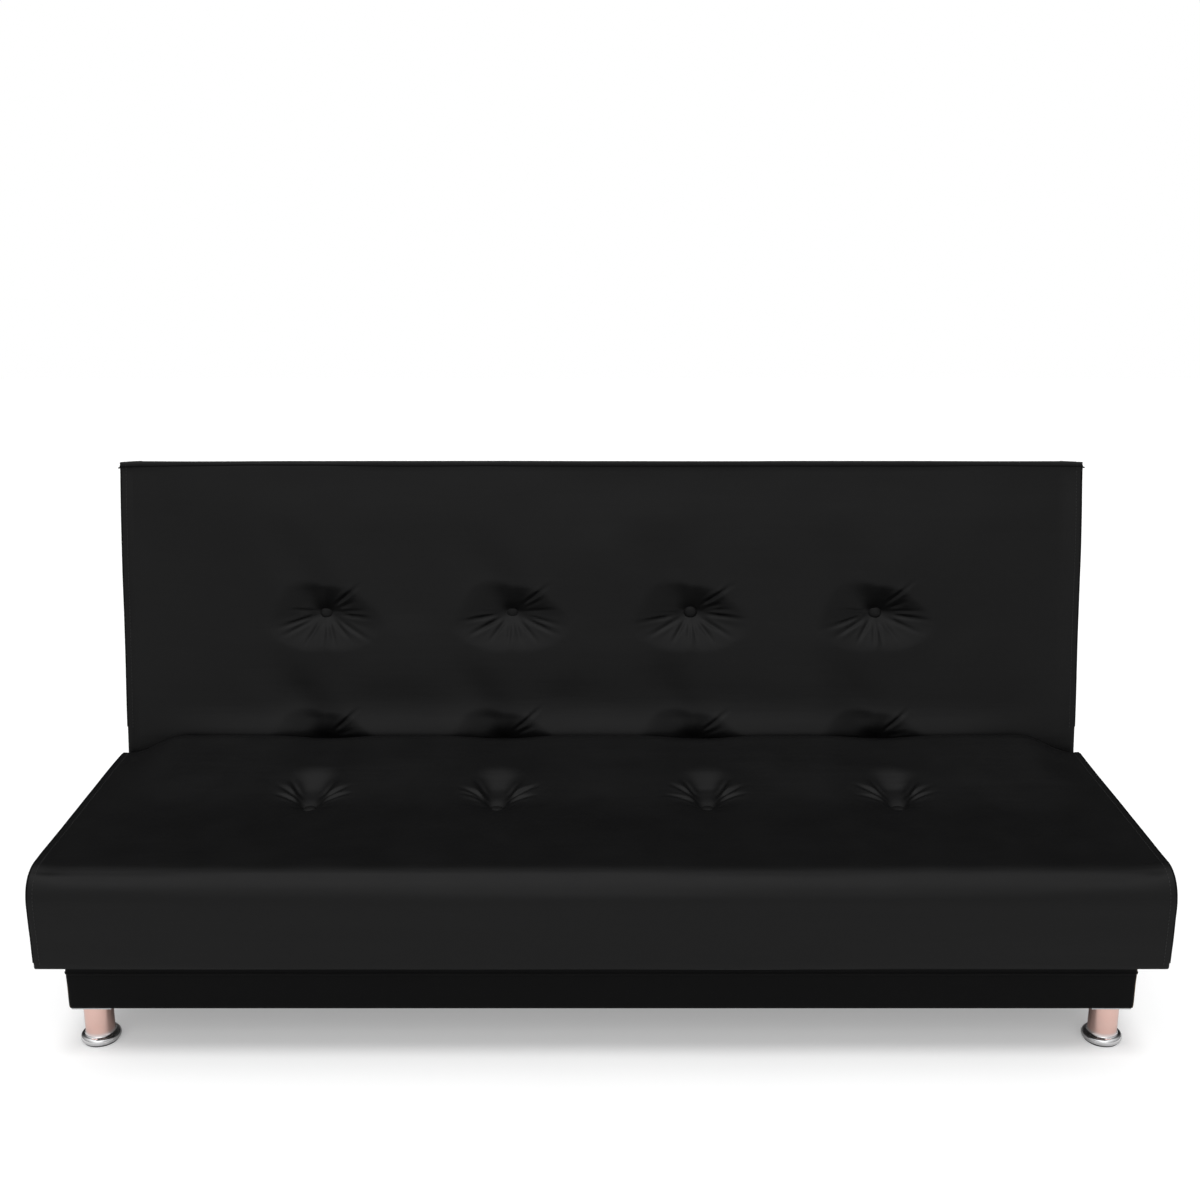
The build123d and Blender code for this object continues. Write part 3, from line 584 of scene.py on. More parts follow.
def fold(dx, dy, direction, start, stop, width, depth):
    """A crease that runs outward from a button: a narrow valley between two low ridges."""
    turn = radians(direction)
    along = dx * cos(turn) + dy * sin(turn)
    across = (dy * cos(turn) - dx * sin(turn)) / (width * (0.6 + 0.4 * np.clip(along / stop, 0, 2)))
    middle = start + 0.35 * (stop - start)
    reach = step_up(along, start, middle) * (1 - step_up(along, middle, stop))
    return -depth * reach * (np.exp(-across ** 2) - 0.5 * np.exp(-(across / 2.3) ** 2))


# %% Where the buttons are
def centres_along_x(node):
    """Middles of a node's separate solids, told apart by the gaps between them along X, in mm."""
    points = np.array([vertex.co for vertex in nodes[node].data.vertices]) / MM
    points = points[np.argsort(points[:, 0])]
    gaps = np.where(np.diff(points[:, 0]) > 100)[0] + 1
    return [(part.min(0) + part.max(0)) / 2 for part in np.split(points, gaps)]


BACK_TILT = radians(10.6)
HINGE_IN_BACK = (48.2, 50.0)  # behind the back's face, and above its lower edge
LOWER_SAG = 39.0  # the lower buttons are dragged down towards the seat
hinge = np.array(joints["back_recline"]["pos_m"]) / MM
UP_BACK = np.array([0, sin(BACK_TILT), cos(BACK_TILT)])
BEHIND_BACK = np.array([0, cos(BACK_TILT), -sin(BACK_TILT)])
back_origin = hinge - HINGE_IN_BACK[0] * BEHIND_BACK - HINGE_IN_BACK[1] * UP_BACK
seat_low, seat_high = (np.array(corner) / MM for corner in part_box("seat_cover"))
END_FULLNESS = 4.0  # the covers bulge a little past the panels' ends
HALF_WIDTH = seat_high[0] + END_FULLNESS
SEAT_LENGTH = seat_high[1] - seat_low[1]
SEAT_THICKNESS = seat_high[2] - seat_low[2]
BACK_LENGTH = 646.0
BACK_THICKNESS = 130.0


def to_seat(point):
    """(x, a, b) of a point on the seat: a runs from front to rear, b from underside to face."""
    return np.array([point[0], point[1] - seat_low[1], point[2] - seat_low[2]])


def from_seat(points):
    return points + np.array([0, seat_low[1], seat_low[2]])


def to_back(point):
    """(x, a, b) of a point on the back: a runs up it, b from its rear to its face."""
    away = np.asarray(point) - back_origin
    return np.array([point[0], away @ UP_BACK, BACK_THICKNESS - away @ BEHIND_BACK])


def from_back(points):
    x, a, b = np.moveaxis(points, -1, 0)
    placed = back_origin + a[..., None] * UP_BACK + (BACK_THICKNESS - b)[..., None] * BEHIND_BACK
    placed[..., 0] = x
    return placed


SEAT_PULL = 34.0  # the seat's buttons are dragged towards the back
SEAT_TUFTS = [to_seat(point) + (0, SEAT_PULL, 0) for point in centres_along_x("seat_buttons")]
UPPER_TUFTS = [to_back(point) for point in centres_along_x("back_buttons_upper")]
LOWER_TUFTS = [to_back(point) - (0, LOWER_SAG, 0) for point in centres_along_x("back_buttons_lower")]
for row, tufts in (("seat", SEAT_TUFTS), ("upper", UPPER_TUFTS), ("lower", LOWER_TUFTS)):
    print(row, "buttons at", [tuple(float(round(value, 1)) for value in tuft) for tuft in tufts])

# %% Shape of the back's face
BACK_TUFT_DEPTH = 33.0
# direction in degrees, where it starts and stops, width, depth
BACK_FOLDS = (
    (193, 14, 112, 4.6, 6.0), (212, 16, 112, 4.6, 6.5), (236, 14, 84, 4.4, 4.5), (262, 14, 74, 4.4, 3.5),
    (286, 14, 74, 4.4, 3.5), (309, 16, 84, 4.4, 4.5), (332, 18, 110, 4.8, 6.0), (349, 18, 110, 4.4, 5.0),
    (39, 18, 104, 4.2, 6.5), (2, 14, 92, 3.4, 2.6), (178, 14, 84, 3.4, 2.6), (20, 20, 76, 4.2, 2.2),
)


def tuft_folds(dx, da, folds, rng):
    """All the creases of one button, each turned, lengthened and deepened a little at random."""
    total = np.zeros_like(dx)
    for direction, start, stop, width, depth in folds:
        turned = direction + rng.uniform(-5, 5)
        end = stop * rng.uniform(0.9, 1.1)
        total += fold(dx, da, turned, start, end, width, depth * rng.uniform(0.75, 1.2))
    return total


def back_tuft(dx, da, seed, in_crease):
    """The hollow round one button: a groove across it, steep above, long and fan-shaped below.
    A button in the crease has a shorter hollow and no folds below it: the seat hides them."""
    soft = 3 + 0.3 * np.abs(dx)
    above = step_up(da, -4 - soft, 4 + soft)
    side = 84.0 * above + 112.0 * (1 - above)
    rise = (56.0 if in_crease else 58.0) * above + (40.0 if in_crease else 72.0) * (1 - above)
    power = 1.45 * above + 1.35 * (1 - above)
    across = (np.hypot(dx + 0.25 * np.maximum(da, 0), 12) - 12) / side
    along = (np.hypot(da, soft) - soft + 3) / rise
    hollow = -BACK_TUFT_DEPTH * np.maximum(1 - (across ** 1.4 + along ** 1.4) ** (1 / 1.4), 0) ** power
    drag = np.exp(-((dx * 0.9 + da * 0.42) / 45) ** 2) * step_up(da, 0, 50) * (1 - step_up(da, 70, 200))
    folds = [one for one in BACK_FOLDS if one[0] < 185] if in_crease else BACK_FOLDS
    return hollow - 7.0 * drag + tuft_folds(dx, da, folds, np.random.default_rng(seed))


def back_face(x, a):
    """Height of the back's cover over the flat face of its foam."""
    upper_a, lower_a = UPPER_TUFTS[0][1], LOWER_TUFTS[0][1]
    rows = -2.0 * np.exp(-((a - upper_a) / 70) ** 2)
    ends = 1 - step_up(np.abs(x), HALF_WIDTH - 230, HALF_WIDTH)
    full = 1.0 * np.exp(-((a - 225) / 55) ** 2) * ends + 14.0 * np.exp(-((a - lower_a - 9) / 38) ** 2) * ends
    top = -5.0 * step_up(a, BACK_LENGTH - 120, BACK_LENGTH)
    sides = -6.0 * step_up(np.abs(x), HALF_WIDTH - 260, HALF_WIDTH)
    height = rows * ends + full + top + sides
    loose = 0.6 + 0.4 * step_up(a, lower_a, lower_a + 100)
    height += loose * (4.0 * soft_noise(x, a, 200, 150, 3) + 1.0 * soft_noise(x, a, 75, 60, 4))
    for index, tuft in enumerate(UPPER_TUFTS + LOWER_TUFTS):
        height += back_tuft(x - tuft[0], a - tuft[1], 10 + index, index >= len(UPPER_TUFTS))
    return height


# %% Shape of the seat's face
SEAT_TUFT_DEPTH = 28.0
SEAT_FOLDS = (
    (146, 14, 96, 5.5, 6.0), (124, 30, 84, 6.0, 4.0), (165, 14, 84, 4.5, 4.5), (34, 14, 96, 5.5, 6.0),
    (56, 30, 84, 6.0, 4.0), (15, 14, 84, 4.5, 4.5), (205, 14, 50, 5.0, 2.0), (335, 14, 50, 5.0, 2.0),
    (270, 14, 46, 6.0, 1.6),
)
SEAT_REAR_RISE = 37.0
SCOOP_STEP = 2.0
scoop_places = np.arange(0, 140, SCOOP_STEP)


def scoop_profile():
    """The rise behind a seat button: steep close to it, gentler, and steep again at its far end."""
    near, far = step_up(scoop_places, 14, 34), step_up(scoop_places, 46, 62)
    slope = 0.34 * (1 - near) + 0.17 * near * (1 - far) + 0.42 * far * (1 - step_up(scoop_places, 88, 122))
    rise = np.cumsum(slope) * SCOOP_STEP
    return (rise / rise[-1] - 1) * SEAT_TUFT_DEPTH


SCOOP = scoop_profile()


def seat_tuft(dx, da, seed):
    """The hollow round one button: a scoop rises behind it, and its front wall is steep."""
    reach = np.hypot(dx / 34.0, da / 30.0)
    hollow = -SEAT_TUFT_DEPTH * np.exp(-reach ** 1.35)
    scoop_width = 26 + 24 * np.clip(da / 110, 0, 1.2)
    scoop = np.interp(da + dx * dx / 130, scoop_places, SCOOP) * np.exp(-(np.abs(dx) / scoop_width) ** 3.2)
    total = np.where(da > 0, np.minimum(hollow, scoop), hollow)
    return total + tuft_folds(dx, da, SEAT_FOLDS, np.random.default_rng(seed))


def seat_face(x, a):
    """Height of the seat's cover over the flat face of its foam."""
    tuft_a = SEAT_TUFTS[0][1]
    ends = 1 - step_up(np.abs(x), HALF_WIDTH - 120, HALF_WIDTH - 4)
    valley = -6.0 * np.exp(-((a - tuft_a + 20) / 80) ** 2) * ends
    rear = SEAT_REAR_RISE * np.clip((a - 230) / (SEAT_LENGTH - 260), 0, 1.1) ** 1.9 * ends
    for tuft in SEAT_TUFTS:
        rear = rear * (1 - 0.15 * np.exp(-((x - tuft[0]) / 70) ** 2))
    height = valley + rear
    height += 1.2 * soft_noise(x, a, 180, 110, 5) + 0.4 * soft_noise(x, a, 60, 45, 6)
    for index, tuft in enumerate(SEAT_TUFTS):
        height += seat_tuft(x - tuft[0], a - tuft[1], 30 + index)
    return height


# %% Build the closed shells
COLUMN_STEPS = (3.2, 11.0, 62.0)  # close, wide, and how far from a button the close ones reach
SEAT_ROW_STEPS = (3.2, 10.0, 50.0)
BACK_ROW_STEPS = (3.2, 10.0, 62.0)
SIDE_STEP = 9.0
SCOOP_END = 70.0  # the rows stay close as far as this behind a seat button
CORE = 24.0
CAP_SHARES = (0.93, 0.8, 0.6, 0.35, 0.12)
CAP_BULGE = 2.5


def swept_panel(columns, outline, face, half, end_radius, side_push, recess=0.0):
    """Points of a panel: its outline swept along X, drawn in at both ends, with its face raised."""
    x = columns[:, None] + 0 * outline[None, :, 0]
    a, b = (outline[None, :, k] + 0 * x for k in (0, 1))
    normal_a, normal_b = outline[None, :, 2], outline[None, :, 3]
    depth_in = np.clip(end_radius - (half - np.abs(x)), 0, end_radius)
    inset = end_radius - np.sqrt(end_radius ** 2 - depth_in ** 2)
    core_a = np.clip(a, CORE, outline[:, 0].max() - CORE)
    core_b = np.clip(b, CORE, outline[:, 1].max() - CORE)
    between_hems = (a > HEM - 0.5) & (a < a.max() - HEM + 0.5) & (np.abs(x) < half - HEM)
    recessed = (normal_b < -0.9) & between_hems
    lift = face(x, a) * np.clip(normal_b, 0, 1) + side_push(x, b, normal_a) - recess * recessed
    a2 = a + normal_a * lift * (normal_b <= 0.999) + (core_a - a) * inset / CORE
    b2 = b + normal_b * lift + (core_b - b) * inset / CORE
    return np.stack([x, a2, b2], -1)


def closed_shell(name, loops, material, body):
    """A closed mesh through the loops, whose two end loops are shut by a point."""
    count, size = loops.shape[:2]
    points = np.vstack([loops.reshape(-1, 3), loops[:1].mean(1), loops[-1:].mean(1)])
    here = (np.arange(count - 1)[:, None] * size + np.arange(size)[None, :]).ravel()
    after = (np.arange(count - 1)[:, None] * size + (np.arange(size)[None, :] + 1) % size).ravel()
    faces = np.stack([here, after, after + size, here + size], 1).tolist()
    first, last = count * size, count * size + 1
    for k in range(size):
        faces.append((first, (k + 1) % size, k))
        faces.append((last, (count - 1) * size + k, (count - 1) * size + (k + 1) % size))
    return new_piece(name, points * MM, faces, material, body)


def new_piece(name, points, faces, material, body):
    """A smooth mesh with its normals outward, riding on a body."""
    mesh = bpy.data.meshes.new(name)
    mesh.from_pydata([tuple(map(float, point)) for point in points], [], faces)
    mesh.validate()
    piece = bpy.data.objects.new(name, mesh)
    bpy.context.scene.collection.objects.link(piece)
    mesh.shade_smooth()
    mesh.materials.append(material)
    if mesh_volume(mesh) < 0:
        mesh.flip_normals()
    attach(piece, body)
    print(name, len(mesh.vertices), "points,", len(mesh.polygons), "faces")
    return piece


def mesh_volume(mesh):
    """Signed volume, positive when the faces point outwards."""
    mesh.calc_loop_triangles()
    corners = np.empty(len(mesh.vertices) * 3)
    mesh.vertices.foreach_get("co", corners)
    triangles = np.empty(len(mesh.loop_triangles) * 3, int)
    mesh.loop_triangles.foreach_get("vertices", triangles)
    p = corners.reshape(-1, 3)[triangles.reshape(-1, 3)]
    return float(np.einsum("ij,ij->i", p[:, 0], np.cross(p[:, 1], p[:, 2])).sum() / 6)


def with_caps(loops, half):
    """Adds smaller loops outside both ends, so that the end walls are slightly full."""
    caps = []
    for end in (loops[0], loops[-1]):
        middle = end.mean(0)
        rings = []
        for share in CAP_SHARES:
            ring = middle + (end - middle) * share
            ring[:, 0] = np.sign(middle[0]) * (half + CAP_BULGE * (1 - share ** 2))
            rings.append(ring)
        caps.append(rings)
    return np.concatenate([np.array(caps[0][::-1]), loops, np.array(caps[1])])


# %% Fill a cover with a cloth simulation
SIM_SPACING = 17.0
SIM_FRAMES = 20
SIM_PRESSURE = 4.0
SIM_CAP = 5.0  # the most that the cloth may move the cover
PIN_REACH = 30.0  # the cover is held this far round a button
TUFT_REACH = 85.0  # and the gain fades in over this much


def thinned(places, spacing):
    """Indices of places that are at least so far apart, the first and last among them."""
    kept = [0]
    for index, place in enumerate(places):
        if place - places[kept[-1]] >= spacing:
            kept.append(index)
    return np.array(kept[:-1] + [len(places) - 1])


def pinned_points(grid, normals, tufts):
    """The cover is held at its hidden side, at both ends and at every button."""
    x, a = grid[..., 0], grid[..., 1]
    held = (np.abs(x) > HALF_WIDTH - 14) | (normals[None, :, 1] < 0.35)
    for tuft in tufts:
        held |= np.hypot(x - tuft[0], a - tuft[1]) < PIN_REACH
    return held.ravel()


def simulated(points, faces, held):
    """Blows the mesh up gently as cloth and returns its points afterwards."""
    mesh = bpy.data.meshes.new("cover_test")
    mesh.from_pydata([tuple(point) for point in points * MM], [], faces)
    cover = bpy.data.objects.new("cover_test", mesh)
    bpy.context.scene.collection.objects.link(cover)
    group = cover.vertex_groups.new(name="held")
    group.add([int(index) for index in np.where(held)[0]], 1.0, "REPLACE")
    cloth = cover.modifiers.new("cloth", "CLOTH")
    cloth.settings.vertex_group_mass = "held"
    cloth.settings.use_pressure = True
    cloth.settings.uniform_pressure_force = SIM_PRESSURE
    cloth.settings.effector_weights.gravity = 0.0
    cloth.settings.quality = 5
    cloth.collision_settings.use_collision = False
    for number in range(1, SIM_FRAMES + 1):
        bpy.context.scene.frame_set(number)
    settled = cover.evaluated_get(bpy.context.evaluated_depsgraph_get())
    after = np.empty(len(points) * 3)
    settled.data.vertices.foreach_get("co", after)
    bpy.context.scene.frame_set(1)
    bpy.data.objects.remove(cover)
    return after.reshape(-1, 3) / MM


def filled(columns, outline, loops, tufts):
    """Raises the face of the fine cover by what a coarse copy of it gains when it is blown up."""
    along = np.r_[0, np.cumsum(np.hypot(*np.diff(outline[:, :2], axis=0).T))]
    picked, rows = thinned(columns, SIM_SPACING), thinned(along, SIM_SPACING)
    grid = loops[np.ix_(picked, rows)]
    size, count = len(rows), len(picked)
    faces = [(i * size + k, i * size + (k + 1) % size, (i + 1) * size + (k + 1) % size, (i + 1) * size + k)
             for i in range(count - 1) for k in range(size)]
    faces += [tuple(range(size))[::-1], tuple(range((count - 1) * size, count * size))]
    points = grid.reshape(-1, 3)
    held = pinned_points(grid, outline[rows][:, 2:], tufts)
    gain = (simulated(points, faces, held) - points)[:, 2].reshape(count, size)
    print("cloth moved the face by up to", round(float(np.abs(gain).max()), 1), "mm before the cap")
    gain = SIM_CAP * np.tanh(gain / SIM_CAP)
    across = np.array([np.interp(columns, columns[picked], gain[:, k]) for k in range(size)])
    fine = np.array([np.interp(along, along[rows], across[:, i]) for i in range(len(columns))])
    for tuft in tufts:
        fine *= 1 - np.exp(-(np.hypot(loops[..., 0] - tuft[0], loops[..., 1] - tuft[1]) / TUFT_REACH) ** 2)
    loops[..., 2] += fine * np.clip(outline[None, :, 3], 0, 1)
    return loops


# %% The seat cushion
SEAT_RADII = (55.0, 25.0, 4.0, 1.2)
END_RADIUS = 4.0
SEAT_RECESS = 4.2


def seat_sides(x, b, normal_a):
    """The front is nearly flat, with shallow bands where the cover is pulled tight; the rear is full."""
    bands = 0.6 * soft_noise(x, b, 420, 18, 7) + 1.2 * soft_noise(x, b, 260, 60, 8)
    return np.where(normal_a < -0.5, bands, 0) + np.where(normal_a > 0.5, 2.0, 0)


def build_seat():
    spots = [tuft[0] for tuft in SEAT_TUFTS]
    columns = end_columns(HALF_WIDTH, END_RADIUS, stations(-HALF_WIDTH, HALF_WIDTH, spots, *COLUMN_STEPS))
    hem_edges = np.array([HEM - 0.5, HEM + 0.5]) - HALF_WIDTH
    columns = np.sort(np.concatenate([columns, hem_edges, -hem_edges]))
    tuft_a = SEAT_TUFTS[0][1]
    rows = stations(0, SEAT_LENGTH, [tuft_a, tuft_a + SCOOP_END], *SEAT_ROW_STEPS)
    outline = panel_outline(SEAT_LENGTH, SEAT_THICKNESS, SEAT_RADII, rows, SIDE_STEP)
    shape = (seat_face, HALF_WIDTH, END_RADIUS, seat_sides, SEAT_RECESS)
    return columns, outline, swept_panel(columns, outline, *shape)


seat_columns, seat_outline, seat_loops = build_seat()
seat_loops = filled(seat_columns, seat_outline, seat_loops, SEAT_TUFTS)
seat_shell = with_caps(seat_loops, HALF_WIDTH)
seat_cushion = closed_shell("seat_cushion", from_seat(seat_shell), LEATHER, "seat")
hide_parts("seat_cover", "seat_foam", "seat_edge_foam")

# %% The back cushion
BACK_RADII = (45.0, 10.0, 15.0, 20.0)
NOTCH_X = 905.0


def back_sides(x, b, normal_a):
    return np.where(normal_a > 0.5, 1.0 * soft_noise(x, b, 200, 60, 9), 0)


def notch_height(b):
    """Lowest place of the back's cover outside the hinge plates, which the notch leaves room for."""
    return np.interp(BACK_THICKNESS - b, (-10, 18, 26, 40, 142), (66, 66, 80, 84, 116))


def cut_end_notches(loops):
    """Beyond the hinge plates the cover stops above the notch."""
    outside = np.abs(loops[..., 0]) > NOTCH_X + 0.2
    low = np.maximum(loops[..., 1], notch_height(loops[..., 2]) + 0.02 * loops[..., 1])
    loops[..., 1] = np.where(outside, low, loops[..., 1])
    return loops


def build_back():
    spots = [tuft[0] for tuft in UPPER_TUFTS + LOWER_TUFTS]
    columns = stations(-HALF_WIDTH, HALF_WIDTH, spots, *COLUMN_STEPS)
    columns = end_columns(HALF_WIDTH, END_RADIUS, columns)
    edges = [-NOTCH_X - 0.4, -NOTCH_X, NOTCH_X, NOTCH_X + 0.4]
    columns = np.sort(np.concatenate([columns, edges]))
    rows = stations(0, BACK_LENGTH, [UPPER_TUFTS[0][1], LOWER_TUFTS[0][1]], *BACK_ROW_STEPS)
    outline = panel_outline(BACK_LENGTH, BACK_THICKNESS, BACK_RADII, rows, SIDE_STEP)
    return columns, outline, swept_panel(columns, outline, back_face, HALF_WIDTH, END_RADIUS, back_sides)


back_columns, back_outline, back_loops = build_back()
back_loops = filled(back_columns, back_outline, back_loops, UPPER_TUFTS + LOWER_TUFTS)
back_shell = cut_end_notches(with_caps(back_loops, HALF_WIDTH))
back_cushion = closed_shell("back_cushion", from_back(back_shell), LEATHER, "back")
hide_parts("back_cover", "back_foam", "back_edge_foam")

# %% [markdown]
# ## Covered buttons
# A covered button is a metal shell with leather stretched over it and tucked behind. It is drawn as a
# turned dome with a shallow flat top and a tucked rim. Each one sits a little crooked, because its
# twine pulls it to one side.

# %% Turned shapes
def turned(profile, sides):
    """Points and faces of a closed turned shape; the profile is (radius, height) from bottom to top."""
    profile = np.asarray(profile, float)
    turn = np.linspace(0, 2 * pi, sides, endpoint=False)
    ring = np.stack([np.cos(turn), np.sin(turn)], 1)
    rows = [np.hstack([radius * ring, np.full((sides, 1), height)]) for radius, height in profile]
    bottom, top = (0, 0, profile[0, 1]), (0, 0, profile[-1, 1])
    points = np.vstack(rows + [bottom, top])
    faces = []
    for row in range(len(profile) - 1):
        low, high = row * sides, (row + 1) * sides
        for k in range(sides):
            after = (k + 1) % sides
            faces.append((low + k, low + after, high + after, high + k))
    last = (len(profile) - 1) * sides
    for k in range(sides):
        faces.append((len(points) - 2, (k + 1) % sides, k))
        faces.append((len(points) - 1, last + k, last + (k + 1) % sides))
    return points, faces


def gathered(parts):
    """Joins several (points, faces) into one."""
    points, faces, count = [], [], 0
    for part_points, part_faces in parts:
        points.append(part_points)
        faces += [tuple(index + count for index in face) for face in part_faces]
        count += len(part_points)
    return np.vstack(points), faces


def tube_faces(count, size):
    """Quads between loops in a row, with both end loops shut."""
    last = (count - 1) * size
    return ring_faces(count, size)[:-size] + [tuple(range(size))[::-1], tuple(range(last, last + size))]


def ring_faces(count, size):
    """Quads of a closed ring of loops."""
    faces = []
    for i in range(count):
        for k in range(size):
            after, across = (k + 1) % size, (i + 1) % count
            faces.append((i * size + k, i * size + after, across * size + after, across * size + k))
    return faces


# %% Buttons
BUTTON_PROFILE = (
    (8.0, -3.0), (11.6, -2.4), (13.0, -0.6), (13.3, 1.2), (12.9, 3.2), (11.8, 5.0), (10.0, 6.4),
    (7.4, 7.5), (4.4, 8.1), (1.6, 8.3),
)
BUTTON_SIDES = 40


def leaning(points, seed):
    """Leans a button a little and puckers its rim."""
    rng = np.random.default_rng(seed)
    turn = np.arctan2(points[:, 1], points[:, 0])
    radius = np.hypot(points[:, 0], points[:, 1])
    pucker = 0.25 * np.sin(11 * turn + rng.uniform(0, 6)) * np.clip(radius / 13 - 0.5, 0, 1)
    points = points + np.stack([np.cos(turn) * pucker, np.sin(turn) * pucker, 0 * turn], 1)
    lean = rng.uniform(-0.1, 0.1, 2)
    points[:, 2] += points[:, 0] * lean[0] + points[:, 1] * lean[1]
    return points


def covered_buttons(name, tufts, place, top, depth, body, replaced, seed):
    """The buttons of one row, set at the bottom of their hollows."""
    parts = []
    for index, tuft in enumerate(tufts):
        points, faces = turned(BUTTON_PROFILE, BUTTON_SIDES)
        points = leaning(points, seed + index) + (tuft[0], tuft[1], top - depth)
        parts.append((place(points), faces))
    points, faces = gathered(parts)
    row = new_piece(name, points * MM, faces, BUTTON_LEATHER, body)
    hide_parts(replaced)


SEAT_BUTTON_DEPTH = SEAT_TUFT_DEPTH + 2
UPPER_BUTTON_DEPTH = BACK_TUFT_DEPTH + 1
LOWER_BUTTON_DEPTH = BACK_TUFT_DEPTH + 4
seat_spot = (from_seat, SEAT_THICKNESS, SEAT_BUTTON_DEPTH, "seat", "seat_buttons", 50)
upper_spot = (from_back, BACK_THICKNESS, UPPER_BUTTON_DEPTH, "back", "back_buttons_upper", 60)
lower_spot = (from_back, BACK_THICKNESS, LOWER_BUTTON_DEPTH, "back", "back_buttons_lower", 70)
covered_buttons("covered_buttons_seat", SEAT_TUFTS, *seat_spot)
covered_buttons("covered_buttons_upper", UPPER_TUFTS, *upper_spot)
covered_buttons("covered_buttons_lower", LOWER_TUFTS, *lower_spot)

# %% Twine behind the buttons
TWINE_STRAND = 0.7
TWINE_TURN = 14.0
TWINE_SIDES = 6


def twisted_twine(start, stop):
    """Two strands wound round each other from one point to another."""
    start, stop = np.asarray(start, float), np.asarray(stop, float)
    length = np.linalg.norm(stop - start)
    steps = np.linspace(0, 1, max(8, round(length / 2.5)))
    ring = np.linspace(0, 2 * pi, TWINE_SIDES, endpoint=False)
    strands = []
    for side in (0, pi):
        turn = side + 2 * pi * steps * length / TWINE_TURN
        middle = start + (stop - start) * steps[:, None]
        middle[:, 0] += TWINE_STRAND * np.cos(turn)
        middle[:, 1] += TWINE_STRAND * np.sin(turn)
        rings = middle[:, None] + TWINE_STRAND * np.stack([np.cos(ring), np.sin(ring), 0 * ring], 1)[None]
        strands.append((rings.reshape(-1, 3), tube_faces(len(steps), TWINE_SIDES)))
    return gathered(strands)


def button_ties(name, rows, place, to_local, node, body):
    """One tie for each button, from its anchor disc to the inside of the button."""
    disc = min(to_local(np.array(vertex.co) / MM)[2] for vertex in nodes[node].data.vertices)
    parts = []
    for tufts, inside, sag in rows:
        parts += [twisted_twine((tuft[0], tuft[1] + sag, disc), (tuft[0], tuft[1], inside)) for tuft in tufts]
    points, faces = gathered(parts)
    tie = new_piece(name, place(points) * MM, faces, TWINE, body)
    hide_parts(node)


seat_rows = [(SEAT_TUFTS, SEAT_THICKNESS - SEAT_BUTTON_DEPTH, -SEAT_PULL)]
back_rows = [(UPPER_TUFTS, BACK_THICKNESS - UPPER_BUTTON_DEPTH, 0.0),
             (LOWER_TUFTS, BACK_THICKNESS - LOWER_BUTTON_DEPTH, LOWER_SAG)]
button_ties("seat_twine", seat_rows, from_seat, to_seat, "seat_button_ties", "seat")
button_ties("back_twine", back_rows, from_back, to_back, "back_button_ties", "back")

# %% [markdown]
# ## The wrapped plinth
# The plinth is a wooden box with the same leather pulled round it, turned over the top and bottom edges
# and stapled inside. A section of the wrap is swept round a rectangle with small corners. A flat
# fold runs round it below the seat, where two strips of the cover are joined.

# %% Plinth wrap
wrap_low, wrap_high = (np.array(corner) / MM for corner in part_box("base_cover"))
WRAP_CORNER = 7.0
# how far inside the outer face, and height
WRAP_SECTION = (
    (30.0, 206.4), (30.0, 207.8), (12.0, 207.9), (4.5, 207.6), (1.6, 206.2), (0.3, 203.5), (0.0, 198.0),
    (0.0, 190.0), (0.0, 178.0), (0.0, 166.0), (0.0, 156.0), (0.0, 150.6), (-1.0, 149.8), (-1.5, 148.0),
    (-1.2, 146.4), (-0.1, 145.6), (0.3, 145.2), (0.0, 144.0), (0.0, 136.0), (0.0, 124.0), (0.0, 112.0),
    (0.0, 100.0), (0.0, 91.0), (0.1, 84.0), (0.6, 81.4), (2.0, 80.2), (12.0, 80.1), (40.0, 80.1),
    (80.0, 80.1), (80.0, 81.6), (40.0, 81.7), (3.4, 82.4), (2.4, 90.0), (2.2, 140.0), (2.3, 200.0),
    (3.0, 205.4), (12.0, 206.2),
)


def rectangle_path(low, high, radius, step):
    """Places round a rectangle: its own corner point and the outward direction."""
    corners = ((high[0], high[1], 0), (low[0], high[1], 90), (low[0], low[1], 180), (high[0], low[1], 270))
    rows = []
    for index, (x, y, start) in enumerate(corners):
        centre = np.array([x - np.sign(x) * radius, (y - radius) if y == high[1] else (y + radius)])
        for turn in np.radians(start + np.linspace(0, 90, 7)):
            rows.append((*centre, cos(turn), sin(turn)))
        following = corners[(index + 1) % 4]
        after = np.array([following[0] - np.sign(following[0]) * radius,
                          (following[1] - radius) if following[1] == high[1] else (following[1] + radius)])
        count = max(2, round(np.linalg.norm(after - centre) / step))
        turn = radians(start + 90)
        for share in np.linspace(0, 1, count + 1)[1:-1]:
            rows.append((*(centre + (after - centre) * share), cos(turn), sin(turn)))
    return np.array(rows)


def wrap_loops():
    """The wrap's loops, one for each point of its section, with soft ripples on the outside."""
    path = rectangle_path(wrap_low, wrap_high, WRAP_CORNER, 14.0)
    along = np.cumsum(np.r_[0, np.hypot(*np.diff(path[:, :2], axis=0).T)])
    loops = []
    for inside, height in WRAP_SECTION:
        ripple = soft_noise(along, 0 * along + height, 130, 30, 40) * 0.5 * (inside < 0.5)
        out = WRAP_CORNER - inside + ripple
        diagonal = np.sign(path[:, :2] - (wrap_low + wrap_high)[:2] / 2)
        turned_in = np.where(np.abs(path[:, 2:]) > 0.02, diagonal, path[:, 2:])
        outward, inward = path[:, 2:] * np.maximum(out, 0)[:, None], turned_in * out[:, None]
        reach = np.where((out > 0)[:, None], outward, inward)
        loops.append(np.hstack([path[:, :2] + reach, np.full((len(path), 1), height)]))
    return np.array(loops)


